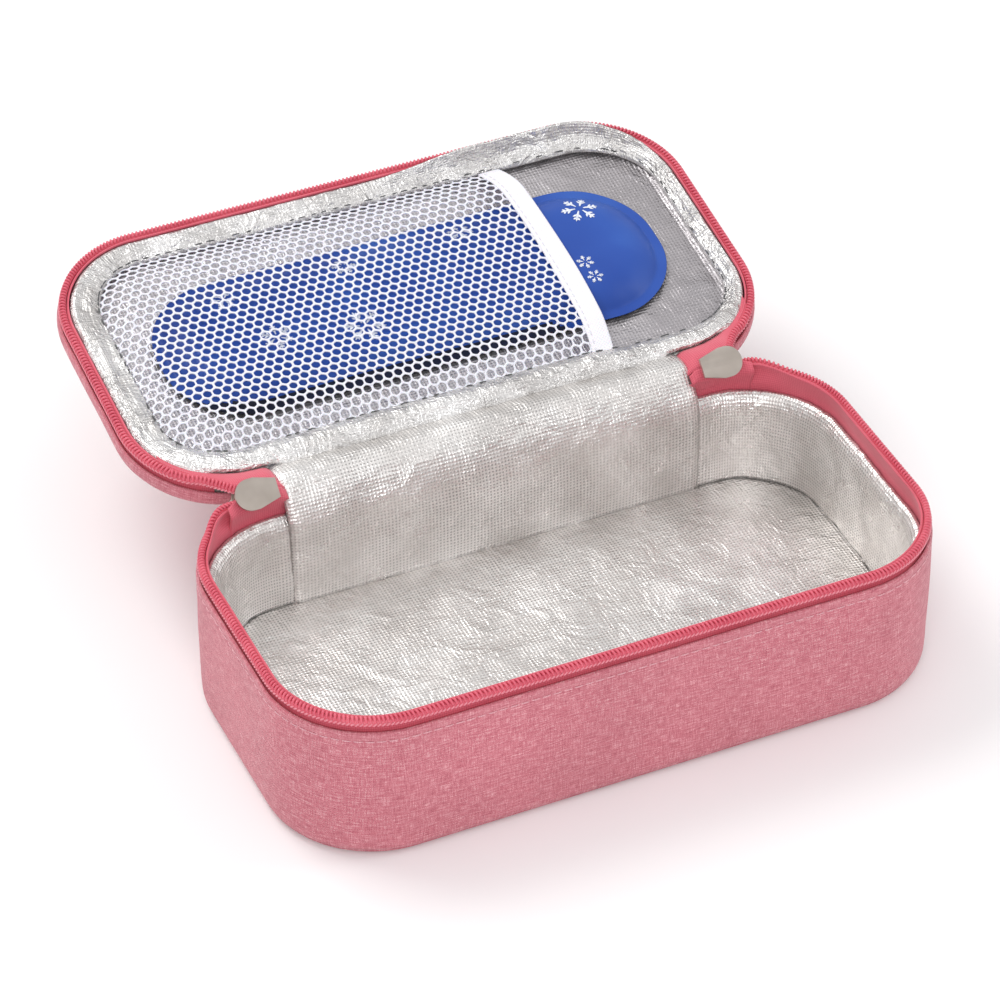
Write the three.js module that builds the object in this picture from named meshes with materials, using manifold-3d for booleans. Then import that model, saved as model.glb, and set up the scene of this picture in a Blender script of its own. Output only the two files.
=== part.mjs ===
// Soft insulated zip case for insulin, lying open: a padded tray, a hinged lid with a net pocket,
// and a gel pack in the pocket. Millimetres, +Z up, X along the case, -Y its front.
// The origin is the middle of the tray's flat bottom.

import * as THREE from "three";
import Module from "manifold-3d";
import { mergeVertices } from "three/addons/utils/BufferGeometryUtils.js";

const wasm = await Module();
wasm.setup();

// Plan of the case and its heights
const caseLength = 220;
const caseWidth = 116;
const cornerRadius = 35;
const baseHeight = 49; // floor to the hem of the tray's outer cloth
const lidHeight = 7; // hem of the lid's outer cloth to its top
const seamRadius = 4; // rounded edge of the bottom and top panels
const lidOpenAngle = 170; // degrees from closed, as it lies open
const hingeSetback = 2; // hinge line behind the back wall
const hingeInset = 4; // cloth hinge ends this far before the corner begins

// Layers of the walls
const clearance = 0.3;
const clothThickness = 1.2;
const foilThickness = 0.6;
const boardThickness = 3;
const wallFoam = 5;
const bottomFoam = 6;
const lidFoam = 3.4;

// Coil zip
const zipRise = 5; // tips of the coil above the hem
const tapeThickness = 0.8;
const tapeHidden = 11; // tape sewn behind the tray's hem
const tapeLean = 1.7; // how far the tape leans in above the hem
const tapeLeanDepth = 3; // the lean starts this far below the hem
const tapeTop = 0.8; // tape edge below the coil's tips
const coilThickness = 2.2;
const coilHeight = 4.4;
const liningDrop = 9.5; // tips of the coil to the edge of the tray's lining

// Lid lining, pocket and gel pack, as depths below the plane where the two zips meet
const borderDepth = 1.6; // outer edge of the foil border
const borderFall = 2.8; // its inner edge lies this much deeper
const borderWidth = 5.2;
const borderRoom = 0.7; // between the border and a slider's inner plate
const netThickness = 0.6;
const netPitch = 8.6;
const netThread = 2.2;
const netMargin = 2; // plain edge round the gaps
const pocketLength = 142.7; // net from its left edge to its mouth
const pocketSlope = 18; // width over which the net climbs to its full height
const mouthBow = 2.5; // bow of the mouth toward the gel pack's free end
const mouthSteps = 16; // straight steps of the arched mouth
const elasticWidth = 8.7;
const elasticThickness = 0.9;
const gelEndRoom = 11.6; // free space in the lid beyond each end of the gel pack
const gelSideRoom = 18.1;
const gelEndFlat = 4; // straight part of the gel pack's round ends
const gelFlange = 4.5; // welded rim
const gelFront = 4.9; // bulge of the film under the net
const gelBack = 0.6; // bulge of the film that lies on the lining
const gelShift = new THREE.Vector2(1.7, -1.8); // gel pack off the lid's middle
const filmThickness = 0.4;

// Zip sliders and their pull tabs
const sliderStop = 2; // slider from the end of the cloth hinge
const sliderLength = 14;
const sliderPlate = 1.1;
const sliderRoom = 0.4; // free space between each plate and the zip
const sliderTilt = 45; // degrees back from upright while the lid lies open
const sliderNose = 0.62; // narrow end of a plate as a part of its height
const sliderPost = 3;
const postPlace = 3.5;
const bridgeRise = 3; // middle of the bridge's bar above the outer plate
const bridgeBar = 1.2;
const bridgeSpan = 9.5;
const bridgeEnd = 1; // outer foot from the slider's end
const pullFootRoom = 2.4; // tab from the bridge's outer foot
const pullLength = 19;
const pullThickness = 1.2;
const pullRim = 1.3;
const pullSwing = 45; // degrees the tab swings out along the zip
const pullClearance = 0.2;

// Roundness of the facets
const cornerSteps = 8;
const gelCornerSteps = 7;
const seamSteps = 3;

// Places that follow from the sizes above
const hemDepth = zipRise + clearance;
const meetZ = baseHeight + hemDepth;
const hingeY = caseWidth / 2 + hingeSetback;
const tapeOuter = clothThickness + clearance;
const tapeInner = tapeOuter + tapeThickness;
const liningEdge = tapeInner + clearance;
const lidDepth = hemDepth + lidHeight;
const lidPanelDepth = lidDepth - clothThickness - lidFoam - foilThickness - 2 * clearance;
const lidTapeFoot = lidDepth - seamRadius + clearance;
const hingeHalfWidth = caseLength / 2 - cornerRadius - hingeInset;
const sliderX = hingeHalfWidth + sliderStop + sliderLength / 2;
const sliderHeight = 2 * (hemDepth - clearance);
const sliderDepth = coilThickness + tapeThickness + 2 * (sliderPlate + sliderRoom);
const sliderInset = tapeOuter + tapeLean - clearance - coilThickness / 2;
// The border leaves room for the sliders' inner plates, where the corner has begun to turn.
const sliderTurn = Math.max(0, sliderX - caseLength / 2 + cornerRadius);
const sliderDrop = cornerRadius - Math.sqrt(cornerRadius ** 2 - sliderTurn ** 2);
const borderEdge = sliderInset + sliderDepth / 2 + sliderDrop + borderRoom;
const borderInner = borderEdge + borderWidth;
const netDepth = borderDepth + borderFall;
const netInset = borderInner + clearance;
const gelWeld = lidPanelDepth - clearance - gelBack - filmThickness - clearance / 2;
const gelTop = gelWeld - clearance / 2 - filmThickness - gelFront;
const pocketRise = netDepth + elasticThickness + clearance - gelTop;
const gelLength = caseLength - 2 * (borderInner + gelEndRoom);
const gelWidth = caseWidth - 2 * (borderInner + gelSideRoom);
const gelCornerRadius = (gelWidth - gelEndFlat) / 2;
const pocketMouth = netInset + pocketLength - caseLength / 2;
// The outer plate passes the hem as the slider tips, and the folded tape ends below its inner plate.
const outerPlateHeight = Math.sqrt(sliderHeight ** 2 - sliderDepth ** 2);
const endTapeDepth = Math.hypot(sliderHeight, sliderDepth) / 2 + clearance;
const bridgeOuterFoot = sliderLength / 2 - bridgeEnd;
const bridgeInnerFoot = bridgeOuterFoot - bridgeSpan;
const pullPlace = bridgeOuterFoot - pullFootRoom;
const boardZ = clothThickness + clearance;
const bottomFoamZ = boardZ + boardThickness + clearance;
const bottomLiningZ = bottomFoamZ + bottomFoam + clearance;
const wallInner = liningEdge + wallFoam;

// Colours and finishes
function finish(colour, roughness, metalness = 0) {
  return new THREE.MeshStandardMaterial({ color: colour, roughness, metalness });
}
const clothFinish = finish(0xd27384, 0.9);
const zipFinish = finish(0xd65a70, 0.7);
const foilFinish = finish(0xc9c8c6, 0.32, 0.85);
const foamFinish = finish(0xf0efe9, 0.95);
const boardFinish = finish(0xdcdcd8, 0.6);
const netFinish = finish(0xf3f1f6, 0.85);
const gelFilmFinish = finish(0x2f5fbe, 0.3);
const gelFinish = finish(0x3b78d4, 0.4);
const metalFinish = finish(0xa79f95, 0.3, 0.9);

// A station of a plan path: a point on the outline and the unit normal that points into the case.
function arcStations(centreX, centreY, radius, fromDegrees, toDegrees, steps) {
  return Array.from({ length: steps + 1 }, (_, i) => {
    const angle = THREE.MathUtils.degToRad(fromDegrees + ((toDegrees - fromDegrees) * i) / steps);
    const c = Math.cos(angle);
    const s = Math.sin(angle);
    return { x: centreX + radius * c, y: centreY + radius * s, nx: -c, ny: -s };
  });
}

function roundedPlan(length, width, radius, steps) {
  const cx = length / 2 - radius;
  const cy = width / 2 - radius;
  return [
    ...arcStations(cx, cy, radius, 0, 90, steps),
    ...arcStations(-cx, cy, radius, 90, 180, steps),
    ...arcStations(-cx, -cy, radius, 180, 270, steps),
    ...arcStations(cx, -cy, radius, 270, 360, steps),
  ];
}

const casePlan = roundedPlan(caseLength, caseWidth, cornerRadius, cornerSteps);
const cornerX = caseLength / 2 - cornerRadius;
const cornerY = caseWidth / 2 - cornerRadius;

// A point of the back edge, on its straight part or on a corner, as a corner angle in degrees.
function backAngle(x) {
  return THREE.MathUtils.radToDeg(Math.acos(Math.max(0, x - cornerX) / cornerRadius));
}

function backY(x) {
  return cornerY + cornerRadius * Math.sin(THREE.MathUtils.degToRad(backAngle(x)));
}

function backStation(x) {
  return { x, y: caseWidth / 2, nx: 0, ny: -1 };
}

// From the back edge at -x, round the left end, front and right end, to the back edge at +x.
function frontRun(x) {
  const angle = backAngle(x);
  const run = [
    ...arcStations(-cornerX, cornerY, cornerRadius, 180 - angle, 180, cornerSteps),
    ...arcStations(-cornerX, -cornerY, cornerRadius, 180, 270, cornerSteps),
    ...arcStations(cornerX, -cornerY, cornerRadius, 270, 360, cornerSteps),
    ...arcStations(cornerX, cornerY, cornerRadius, 0, angle, cornerSteps),
  ];
  return x < cornerX ? [backStation(-x), ...run, backStation(x)] : run;
}

// The stretch of the back edge from x to the corner point at farX, on the right or mirrored to the left.
function endRun(x, farX, side) {
  const stations = [
    ...arcStations(cornerX, cornerY, cornerRadius, backAngle(farX), 90, cornerSteps),
    backStation(x),
  ];
  return stations.map((s) => ({ ...s, x: s.x * side, nx: s.nx * side }));
}

const flipped = (triangles) => triangles.map(([a, b, c]) => [a, c, b]);

// A closed mesh of the triangles, turned so that they face out.
function closedGeometry(vertices, triangles) {
  const volume = triangles.reduce((sum, [a, b, c]) => {
    const [p, q, r] = [vertices[a], vertices[b], vertices[c]];
    return sum + p.dot(new THREE.Vector3().crossVectors(q, r));
  }, 0);
  const facing = volume < 0 ? flipped(triangles) : triangles;
  const positions = vertices.flatMap((v) => [v.x, v.y, v.z]);
  return new THREE.BufferGeometry()
    .setAttribute("position", new THREE.Float32BufferAttribute(positions, 3))
    .setIndex(facing.flat());
}

// Fills a flat contour with triangles that run the same way round as the contour.
function capTriangles(contour, indices) {
  const filled = THREE.ShapeUtils.triangulateShape(contour, []).map((corners) =>
    corners.map((k) => indices[k]),
  );
  return THREE.ShapeUtils.isClockWise(contour) ? flipped(filled) : filled;
}

// One ring of vertices for each profile point [inset, z], all round the stations.
function ringVertices(stations, profile) {
  return profile.flatMap(([inset, z]) =>
    stations.map((s) => new THREE.Vector3(s.x + s.nx * inset, s.y + s.ny * inset, z)),
  );
}

function bandTriangles(ringA, ringB, count, closed) {
  const steps = closed ? count : count - 1;
  return Array.from({ length: steps }, (_, i) => {
    const j = (i + 1) % count;
    return [
      [ringA + i, ringA + j, ringB + j],
      [ringA + i, ringB + j, ringB + i],
    ];
  }).flat();
}

// A closed profile carried all round a closed plan.
function ring(stations, profile) {
  const count = stations.length;
  const triangles = profile.flatMap((_, k) =>
    bandTriangles(k * count, ((k + 1) % profile.length) * count, count, true),
  );
  return closedGeometry(ringVertices(stations, profile), triangles);
}

// A closed profile carried along an open run, with flat ends.
function run(stations, profile) {
  const count = stations.length;
  const sides = profile.flatMap((_, k) =>
    bandTriangles(k * count, ((k + 1) % profile.length) * count, count, false),
  );
  const contour = profile.map(([inset, z]) => new THREE.Vector2(inset, z));
  const start = capTriangles(contour, profile.map((_, k) => k * count));
  const end = capTriangles(contour, profile.map((_, k) => k * count + count - 1));
  return closedGeometry(ringVertices(stations, profile), [...sides, ...start, ...flipped(end)]);
}

// An open profile carried round a closed plan, with its first and last rings filled in.
function pan(stations, profile) {
  const count = stations.length;
  const vertices = ringVertices(stations, profile);
  const fill = (first) =>
    capTriangles(
      vertices.slice(first, first + count).map((v) => new THREE.Vector2(v.x, v.y)),
      Array.from({ length: count }, (_, i) => first + i),
    );
  const bands = profile
    .slice(1)
    .flatMap((_, k) => bandTriangles(k * count, (k + 1) * count, count, true));
  const head = fill((profile.length - 1) * count);
  return closedGeometry(vertices, [...flipped(fill(0)), ...bands, ...head]);
}

// A flat slab inset from the plan, between two heights.
function slab(stations, inset, low, high) {
  return pan(stations, [
    [inset, low],
    [inset, high],
  ]);
}

function extrudeAlongX(shape, length) {
  const toRow = new THREE.Matrix4().makeBasis(
    new THREE.Vector3(0, 1, 0),
    new THREE.Vector3(0, 0, 1),
    new THREE.Vector3(1, 0, 0),
  );
  return new THREE.ExtrudeGeometry(shape, { depth: length, bevelEnabled: false, curveSegments: 8 })
    .translate(0, 0, -length / 2)
    .applyMatrix4(toRow);
}

function solidOf(geometry) {
  const bare = geometry.clone();
  bare.deleteAttribute("normal");
  bare.deleteAttribute("uv");
  const merged = mergeVertices(bare, 1e-4);
  return new wasm.Manifold(
    new wasm.Mesh({
      numProp: 3,
      vertProperties: merged.attributes.position.array,
      triVerts: new Uint32Array(merged.index.array),
    }),
  );
}

function geometryOf(solid) {
  const made = solid.getMesh();
  return new THREE.BufferGeometry()
    .setAttribute("position", new THREE.BufferAttribute(made.vertProperties, made.numProp))
    .setIndex(new THREE.BufferAttribute(made.triVerts, 1));
}

function piece(name, geometry, material) {
  const mesh = new THREE.Mesh(geometry, material.clone());
  mesh.name = name;
  return mesh;
}

// Zip profiles, as [inset, depth below the meeting plane]; the tray mirrors them upward. The lid's tape
// is short, because its hem is close to its top.
const leanStartDepth = hemDepth + tapeLeanDepth;
const tapeEdgeDepth = clearance + tapeTop;
function tapeFace(depth) {
  const lean = (leanStartDepth - depth) / (leanStartDepth - tapeEdgeDepth);
  return tapeOuter + tapeLean * lean;
}

const tapeFootDepth = hemDepth + tapeHidden;
const tapeProfile = [
  [tapeOuter, tapeFootDepth],
  [tapeInner, tapeFootDepth],
  [tapeInner, leanStartDepth],
  [tapeInner + tapeLean, tapeEdgeDepth],
  [tapeOuter + tapeLean, tapeEdgeDepth],
  [tapeOuter, leanStartDepth],
];
const lidTapeProfile = [
  [tapeOuter, lidTapeFoot],
  [tapeInner, lidTapeFoot],
  [tapeInner + tapeLean, tapeEdgeDepth],
  [tapeOuter + tapeLean, tapeEdgeDepth],
];
const coilFootDepth = clearance + coilHeight;
const coilBack = tapeFace(tapeEdgeDepth) - clearance;
const coilFootBack = tapeFace(coilFootDepth) - clearance;
const coilProfile = [
  [coilFootBack - coilThickness, coilFootDepth],
  [coilFootBack, coilFootDepth],
  [coilBack, tapeEdgeDepth],
  [coilBack, clearance],
  [coilBack - 0.75 * coilThickness, clearance],
  [coilBack - coilThickness, tapeEdgeDepth],
];
const endTapeProfile = (footDepth) => [
  [tapeOuter, footDepth],
  [tapeInner, footDepth],
  [tapeInner, endTapeDepth],
  [tapeOuter, endTapeDepth],
];
const inTray = (profile) => profile.map(([inset, depth]) => [inset, meetZ - depth]);

// The zip runs end just past the sliders, measured on the inner edge of the tape round the corner.
const pastCorner = sliderX + sliderLength / 2 + clearance - cornerX;
const tapeRadius = cornerRadius - tapeInner - tapeLean;
const zipEndX = cornerX + pastCorner * (pastCorner > 0 ? cornerRadius / tapeRadius : 1);
const endTapeX = hingeHalfWidth + clearance;
const zipRun = frontRun(zipEndX);

// Quarter-round edge of a bottom or top panel: outside going down to the flat, then inside back up.
function seamProfile(flatZ, edgeZ) {
  const toward = Math.sign(flatZ - edgeZ);
  const turn = (radius, k) => {
    const angle = ((Math.PI / 2) * k) / seamSteps;
    const inset = seamRadius - radius * Math.cos(angle);
    return [inset, edgeZ + toward * radius * Math.sin(angle)];
  };
  const steps = Array.from({ length: seamSteps + 1 }, (_, k) => k);
  const outside = steps.map((k) => turn(seamRadius, k)).reverse();
  const inside = steps.map((k) => turn(seamRadius - clothThickness, k));
  return [...outside, ...inside];
}

// Tray
function makeTray() {
  const tray = new THREE.Group();
  const sideFoot = seamRadius + clearance;
  const liningTop = meetZ - clearance - liningDrop;
  const foamTop = liningTop - foilThickness - clearance;
  const tapeFoot = meetZ - tapeFootDepth;
  const foamOuter = clothThickness + clearance;
  const foamFoot = Math.max(sideFoot, bottomFoamZ);
  const liningOuter = wallInner + clearance;
  const liningInner = liningOuter + foilThickness;
  const liningFoot = bottomLiningZ + foilThickness + clearance;
  const wallLining = [
    [liningEdge, liningTop],
    [liningEdge, foamTop + clearance],
    [liningOuter, foamTop + clearance],
    [liningOuter, liningFoot],
    [liningInner, liningFoot],
    [liningInner, liningTop],
  ];
  const sideCloth = [
    [0, sideFoot],
    [clothThickness, sideFoot],
    [clothThickness, baseHeight],
    [0, baseHeight],
  ];
  const sideFoam = [
    [foamOuter, foamFoot],
    [wallInner, foamFoot],
    [wallInner, foamTop],
    [liningEdge, foamTop],
    [liningEdge, tapeFoot - clearance],
    [foamOuter, tapeFoot - clearance],
  ];
  const backRun = [backStation(hingeHalfWidth), backStation(-hingeHalfWidth)];
  tray.add(
    piece("base_bottom_panel", pan(casePlan, seamProfile(0, seamRadius)), clothFinish),
    piece("base_side_panel", ring(casePlan, sideCloth), clothFinish),
    piece(
      "base_stiffener_board",
      slab(casePlan, seamRadius, boardZ, boardZ + boardThickness),
      boardFinish,
    ),
    piece(
      "base_bottom_foam",
      slab(casePlan, liningOuter, bottomFoamZ, bottomFoamZ + bottomFoam),
      foamFinish,
    ),
    piece("base_side_foam", ring(casePlan, sideFoam), foamFinish),
    piece(
      "base_bottom_lining",
      slab(casePlan, liningOuter, bottomLiningZ, bottomLiningZ + foilThickness),
      foilFinish,
    ),
    piece("base_side_lining", run(frontRun(hingeHalfWidth + clearance), wallLining), foilFinish),
    piece("base_back_lining", run(backRun, wallLining), foilFinish),
    piece("base_zip_tape", run(zipRun, inTray(tapeProfile)), zipFinish),
    piece("base_zip_coil", run(zipRun, inTray(coilProfile)), zipFinish),
  );
  for (const [label, side] of [["left", -1], ["right", 1]]) {
    const stretch = endRun(endTapeX, zipEndX - clearance, side);
    const profile = inTray(endTapeProfile(tapeFootDepth));
    tray.add(piece(`base_zip_end_${label}`, run(stretch, profile), zipFinish));
  }
  return tray;
}

// Gel pack: two welded films round a pillow of gel that lies flat on its back, in the pack's own frame.
function pillowProfile(rise, start, shrink) {
  const steps = [0, 0.3, 0.6, 0.85, 1];
  const reach = gelCornerRadius - gelFlange;
  return steps.map((share) => {
    const inset = gelFlange + shrink + 0.8 * reach * share;
    return [inset, start + rise * Math.sin((Math.PI / 2) * share)];
  });
}

function makeGelPack() {
  const pack = new THREE.Group();
  const plan = roundedPlan(gelLength, gelWidth, gelCornerRadius, gelCornerSteps);
  const weld = clearance / 2;
  const film = (rise) => {
    const outer = pillowProfile(rise, weld + filmThickness, 0);
    const inner = pillowProfile(rise, weld, filmThickness);
    return [...outer.toReversed(), [0, weld + filmThickness], [0, weld], ...inner];
  };
  const fillEdge = (rise) => pillowProfile(rise, -weld, filmThickness + clearance).slice(1);
  const turned = (profile) => profile.map(([inset, z]) => [inset, -z]);
  const fill = [...fillEdge(gelFront).toReversed(), ...turned(fillEdge(gelBack))];
  pack.add(
    piece("gel_front_film", pan(plan, film(gelFront)), gelFilmFinish),
    piece("gel_back_film", pan(plan, turned(film(gelBack))), gelFilmFinish),
    piece("gel_fill", pan(plan, fill), gelFinish),
  );
  pack.position.set(gelShift.x, gelShift.y, gelWeld);
  pack.rotation.x = Math.PI;
  return pack;
}

// The pocket arches over the gel pack: lifts each point by how far it lies in from the net's edge.
function arched(geometry) {
  const place = geometry.attributes.position;
  for (let i = 0; i < place.count; i += 1) {
    const dx = Math.abs(place.getX(i)) - cornerX;
    const dy = Math.abs(place.getY(i)) - cornerY;
    const round = cornerRadius - Math.hypot(Math.max(0, dx), Math.max(0, dy));
    const inset = dx > 0 || dy > 0 ? round : cornerRadius - Math.max(dx, dy);
    const climb = THREE.MathUtils.clamp((inset - netInset) / pocketSlope, 0, 1);
    place.setZ(i, place.getZ(i) - pocketRise * Math.sin((Math.PI / 2) * climb));
  }
  return geometry;
}

// The mouth of the pocket bows out toward the free end of the gel pack.
const halfMouth = caseWidth / 2 - netInset;
const bowAt = (y) => mouthBow * (1 - (y / halfMouth) ** 2);

// The sides that no neighbour shares, out of a list of directed sides.
function openSides(sides) {
  const taken = new Set(sides.map(([a, b]) => `${a},${b}`));
  return sides.filter(([a, b]) => !taken.has(`${b},${a}`));
}

// Triangles in a plane given thickness, with a wall along every open side.
function sheet(points, triangles, low, thickness) {
  const count = points.length;
  const vertices = [low, low + thickness].flatMap((z) =>
    points.map((p) => new THREE.Vector3(p.x, p.y, z)),
  );
  const sides = triangles.flatMap(([a, b, c]) => [[a, b], [b, c], [c, a]]);
  const walls = openSides(sides).flatMap(([a, b]) => [
    [a, b, b + count],
    [a, b + count, a + count],
  ]);
  const upper = triangles.map((corners) => corners.map((k) => k + count));
  return closedGeometry(vertices, [...flipped(triangles), ...upper, ...walls]);
}

// Fills the room between two loops that run the same way round, by the shorter of the next two links.
function fillBetween(points, outer, inner) {
  const gap = (a, b) => points[a].distanceTo(points[b]);
  const toFirst = inner.map((id) => gap(outer[0], id));
  const start = toFirst.indexOf(Math.min(...toFirst));
  const outerAt = (i) => outer[i % outer.length];
  const innerAt = (j) => inner[(start + j) % inner.length];
  const triangles = [];
  let i = 0;
  let j = 0;
  while (i < outer.length || j < inner.length) {
    const outerNext = gap(outerAt(i + 1), innerAt(j));
    const innerNext = gap(outerAt(i), innerAt(j + 1));
    if (j === inner.length || (i < outer.length && outerNext < innerNext)) {
      triangles.push([outerAt(i), outerAt(i + 1), innerAt(j)]);
      i += 1;
    } else {
      triangles.push([outerAt(i), innerAt(j + 1), innerAt(j)]);
      j += 1;
    }
  }
  return triangles;
}

// Net pocket: a net with hexagonal gaps, sewn to the foil border on three sides.
function makeNet() {
  const halfLength = caseLength / 2 - netInset;
  const radius = cornerRadius - netInset;
  const cellRadius = netPitch / Math.sqrt(3);
  const gapRadius = (netPitch - netThread) / Math.sqrt(3);
  const rowStep = (netPitch * Math.sqrt(3)) / 2;
  const points = [];
  const found = new Map();
  const pointAt = (x, y) => {
    const key = `${Math.round(x * 100)},${Math.round(y * 100)}`;
    if (!found.has(key)) {
      found.set(key, points.length);
      points.push(new THREE.Vector2(x, y));
    }
    return found.get(key);
  };
  const hexagon = (x, y, reach) =>
    Array.from({ length: 6 }, (_, k) => {
      const angle = (Math.PI / 3) * k + Math.PI / 6;
      return pointAt(x + reach * Math.cos(angle), y + reach * Math.sin(angle));
    });
  const inside = (x, y) => {
    const dx = Math.max(0, -halfLength + radius - x);
    const dy = Math.max(0, Math.abs(y) - (halfMouth - radius));
    const room = netMargin + cellRadius;
    return Math.hypot(dx, dy) < radius - room && x < pocketMouth - room;
  };
  const triangles = [];
  const cellSides = [];
  const rows = Math.ceil(halfMouth / rowStep);
  const columns = Math.ceil((halfLength + pocketMouth) / netPitch);
  for (let row = -rows; row <= rows; row += 1) {
    for (let column = 0; column <= columns; column += 1) {
      const x = -halfLength + netPitch * (column + (row % 2 === 0 ? 0 : 0.5));
      const y = row * rowStep;
      if (inside(x, y)) {
        const cell = hexagon(x, y, cellRadius);
        const gap = hexagon(x, y, gapRadius);
        for (let k = 0; k < 6; k += 1) {
          const next = (k + 1) % 6;
          triangles.push([cell[k], cell[next], gap[next]], [cell[k], gap[next], gap[k]]);
          cellSides.push([cell[k], cell[next]]);
        }
      }
    }
  }
  // The outside of the cells, followed from corner to corner, is filled out to the net's edge.
  const onward = new Map(openSides(cellSides));
  const [first] = onward.keys();
  const loop = [first];
  while (onward.get(loop.at(-1)) !== first) {
    loop.push(onward.get(loop.at(-1)));
  }
  const mouth = Array.from({ length: mouthSteps + 1 }, (_, k) => {
    const y = halfMouth * ((2 * k) / mouthSteps - 1);
    return { x: pocketMouth + bowAt(y), y };
  });
  const backCorner = arcStations(radius - halfLength, halfMouth - radius, radius, 90, 180, cornerSteps);
  const frontCorner = arcStations(radius - halfLength, radius - halfMouth, radius, 180, 270, cornerSteps);
  const between = (from, to) => {
    const steps = Math.ceil(Math.hypot(to.x - from.x, to.y - from.y) / netPitch);
    return Array.from({ length: steps - 1 }, (_, k) => ({
      x: from.x + ((to.x - from.x) * (k + 1)) / steps,
      y: from.y + ((to.y - from.y) * (k + 1)) / steps,
    }));
  };
  const edge = [
    ...mouth,
    ...between(mouth.at(-1), backCorner[0]),
    ...backCorner,
    ...between(backCorner.at(-1), frontCorner[0]),
    ...frontCorner,
    ...between(frontCorner.at(-1), mouth[0]),
  ].map(({ x, y }) => pointAt(x, y));
  const rim = fillBetween(points, edge, loop);
  return arched(sheet(points, [...triangles, ...rim], netDepth, netThickness));
}

// Lid, in its closed place with depth measured up from the meeting plane
function makeLid() {
  const lid = new THREE.Group();
  const edgeDepth = lidDepth - seamRadius;
  const sideCloth = [
    [0, hemDepth],
    [clothThickness, hemDepth],
    [clothThickness, edgeDepth - clearance],
    [0, edgeDepth - clearance],
  ];
  const border = [
    [borderEdge, borderDepth],
    [borderInner, netDepth],
    [borderInner, netDepth + foilThickness],
    [borderEdge, borderDepth + foilThickness],
  ];
  // The padding under the border is as wide as the border's outer half.
  const paddingTop = borderDepth + foilThickness + clearance;
  const sideFoam = [
    [borderEdge, paddingTop],
    [borderEdge + borderWidth / 2, paddingTop + borderFall / 2],
    [borderEdge + borderWidth / 2, lidPanelDepth - clearance],
    [borderEdge, lidPanelDepth - clearance],
  ];
  const panelUnder = lidPanelDepth + foilThickness;
  const foamDepth = panelUnder + clearance;
  const elastic = new THREE.BoxGeometry(
    elasticWidth,
    2 * halfMouth,
    elasticThickness,
    1,
    mouthSteps,
  ).translate(pocketMouth + clearance + elasticWidth / 2, 0, netDepth + elasticThickness / 2);
  const band = elastic.attributes.position;
  for (let i = 0; i < band.count; i += 1) {
    band.setX(i, band.getX(i) + bowAt(band.getY(i)));
  }
  lid.add(
    piece("lid_top_panel", pan(casePlan, seamProfile(lidDepth, edgeDepth)), clothFinish),
    piece("lid_side_panel", ring(casePlan, sideCloth), clothFinish),
    piece("lid_top_foam", slab(casePlan, seamRadius, foamDepth, foamDepth + lidFoam), foamFinish),
    piece("lid_side_foam", ring(casePlan, sideFoam), foamFinish),
    piece("lid_lining_panel", slab(casePlan, borderEdge, lidPanelDepth, panelUnder), foilFinish),
    piece("lid_foil_border", ring(casePlan, border), foilFinish),
    piece("lid_zip_tape", run(zipRun, lidTapeProfile), zipFinish),
    piece("lid_zip_coil", run(zipRun, coilProfile), zipFinish),
    piece("mesh_pocket", makeNet(), netFinish),
    piece("pocket_elastic", arched(elastic), netFinish),
    makeGelPack(),
  );
  for (const [label, side] of [["left", -1], ["right", 1]]) {
    const stretch = endRun(endTapeX, zipEndX - clearance, side);
    lid.add(piece(`lid_zip_end_${label}`, run(stretch, endTapeProfile(lidTapeFoot)), zipFinish));
  }
  return lid;
}

// A point of the closed lid, [y, depth], carried to where it lies open.
const openAngle = THREE.MathUtils.degToRad(lidOpenAngle);
function openedPoint(y, depth) {
  const ahead = y - hingeY;
  return new THREE.Vector2(
    hingeY + ahead * Math.cos(openAngle) + depth * Math.sin(openAngle),
    meetZ - ahead * Math.sin(openAngle) + depth * Math.cos(openAngle),
  );
}

// Cloth hinge: an arch of outer cloth from hem to hem, and the lining laid over it.
function makeHinge() {
  const hinge = new THREE.Group();
  const clothY = caseWidth / 2 - clothThickness / 2;
  const fromTray = new THREE.Vector2(clothY, baseHeight + clearance);
  const fromLid = openedPoint(clothY, hemDepth - clearance);
  const middle = fromTray.clone().add(fromLid).divideScalar(2);
  const radius = fromTray.distanceTo(fromLid) / 2;
  const slant = fromLid.clone().sub(fromTray).angle();
  const wide = radius + clothThickness / 2;
  const narrow = radius - clothThickness / 2;
  const arch = new THREE.Shape()
    .absarc(middle.x, middle.y, wide, slant, slant + Math.PI, false)
    .absarc(middle.x, middle.y, narrow, slant + Math.PI, slant, true)
    .closePath();
  const overArch = wide + clearance + foilThickness / 2;
  const trayEnd = new THREE.Vector2(
    caseWidth / 2 - wallInner,
    meetZ - clearance - liningDrop + clearance + foilThickness / 2,
  );
  const lidEnd = openedPoint(
    caseWidth / 2 - borderEdge + clearance,
    borderDepth + foilThickness / 2,
  );
  const crown = Array.from({ length: 5 }, (_, k) => {
    const angle = slant + Math.PI * (0.78 - 0.14 * k);
    return new THREE.Vector2(
      middle.x + overArch * Math.cos(angle),
      middle.y + overArch * Math.sin(angle),
    );
  });
  const spine = [trayEnd, ...crown, lidEnd];
  const offset = (share) =>
    spine.map((p, i) => {
      const before = spine[Math.max(0, i - 1)];
      const after = spine[Math.min(spine.length - 1, i + 1)];
      const along = after.clone().sub(before).normalize();
      return new THREE.Vector2(p.x - along.y * share, p.y + along.x * share);
    });
  const half = foilThickness / 2;
  const ribbon = new THREE.Shape([...offset(-half), ...offset(half).reverse()]);
  hinge.add(
    piece("hinge_outer_strip", extrudeAlongX(arch, 2 * hingeHalfWidth), clothFinish),
    piece("hinge_lining_strip", extrudeAlongX(ribbon, 2 * hingeHalfWidth), foilFinish),
  );
  return hinge;
}

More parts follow.
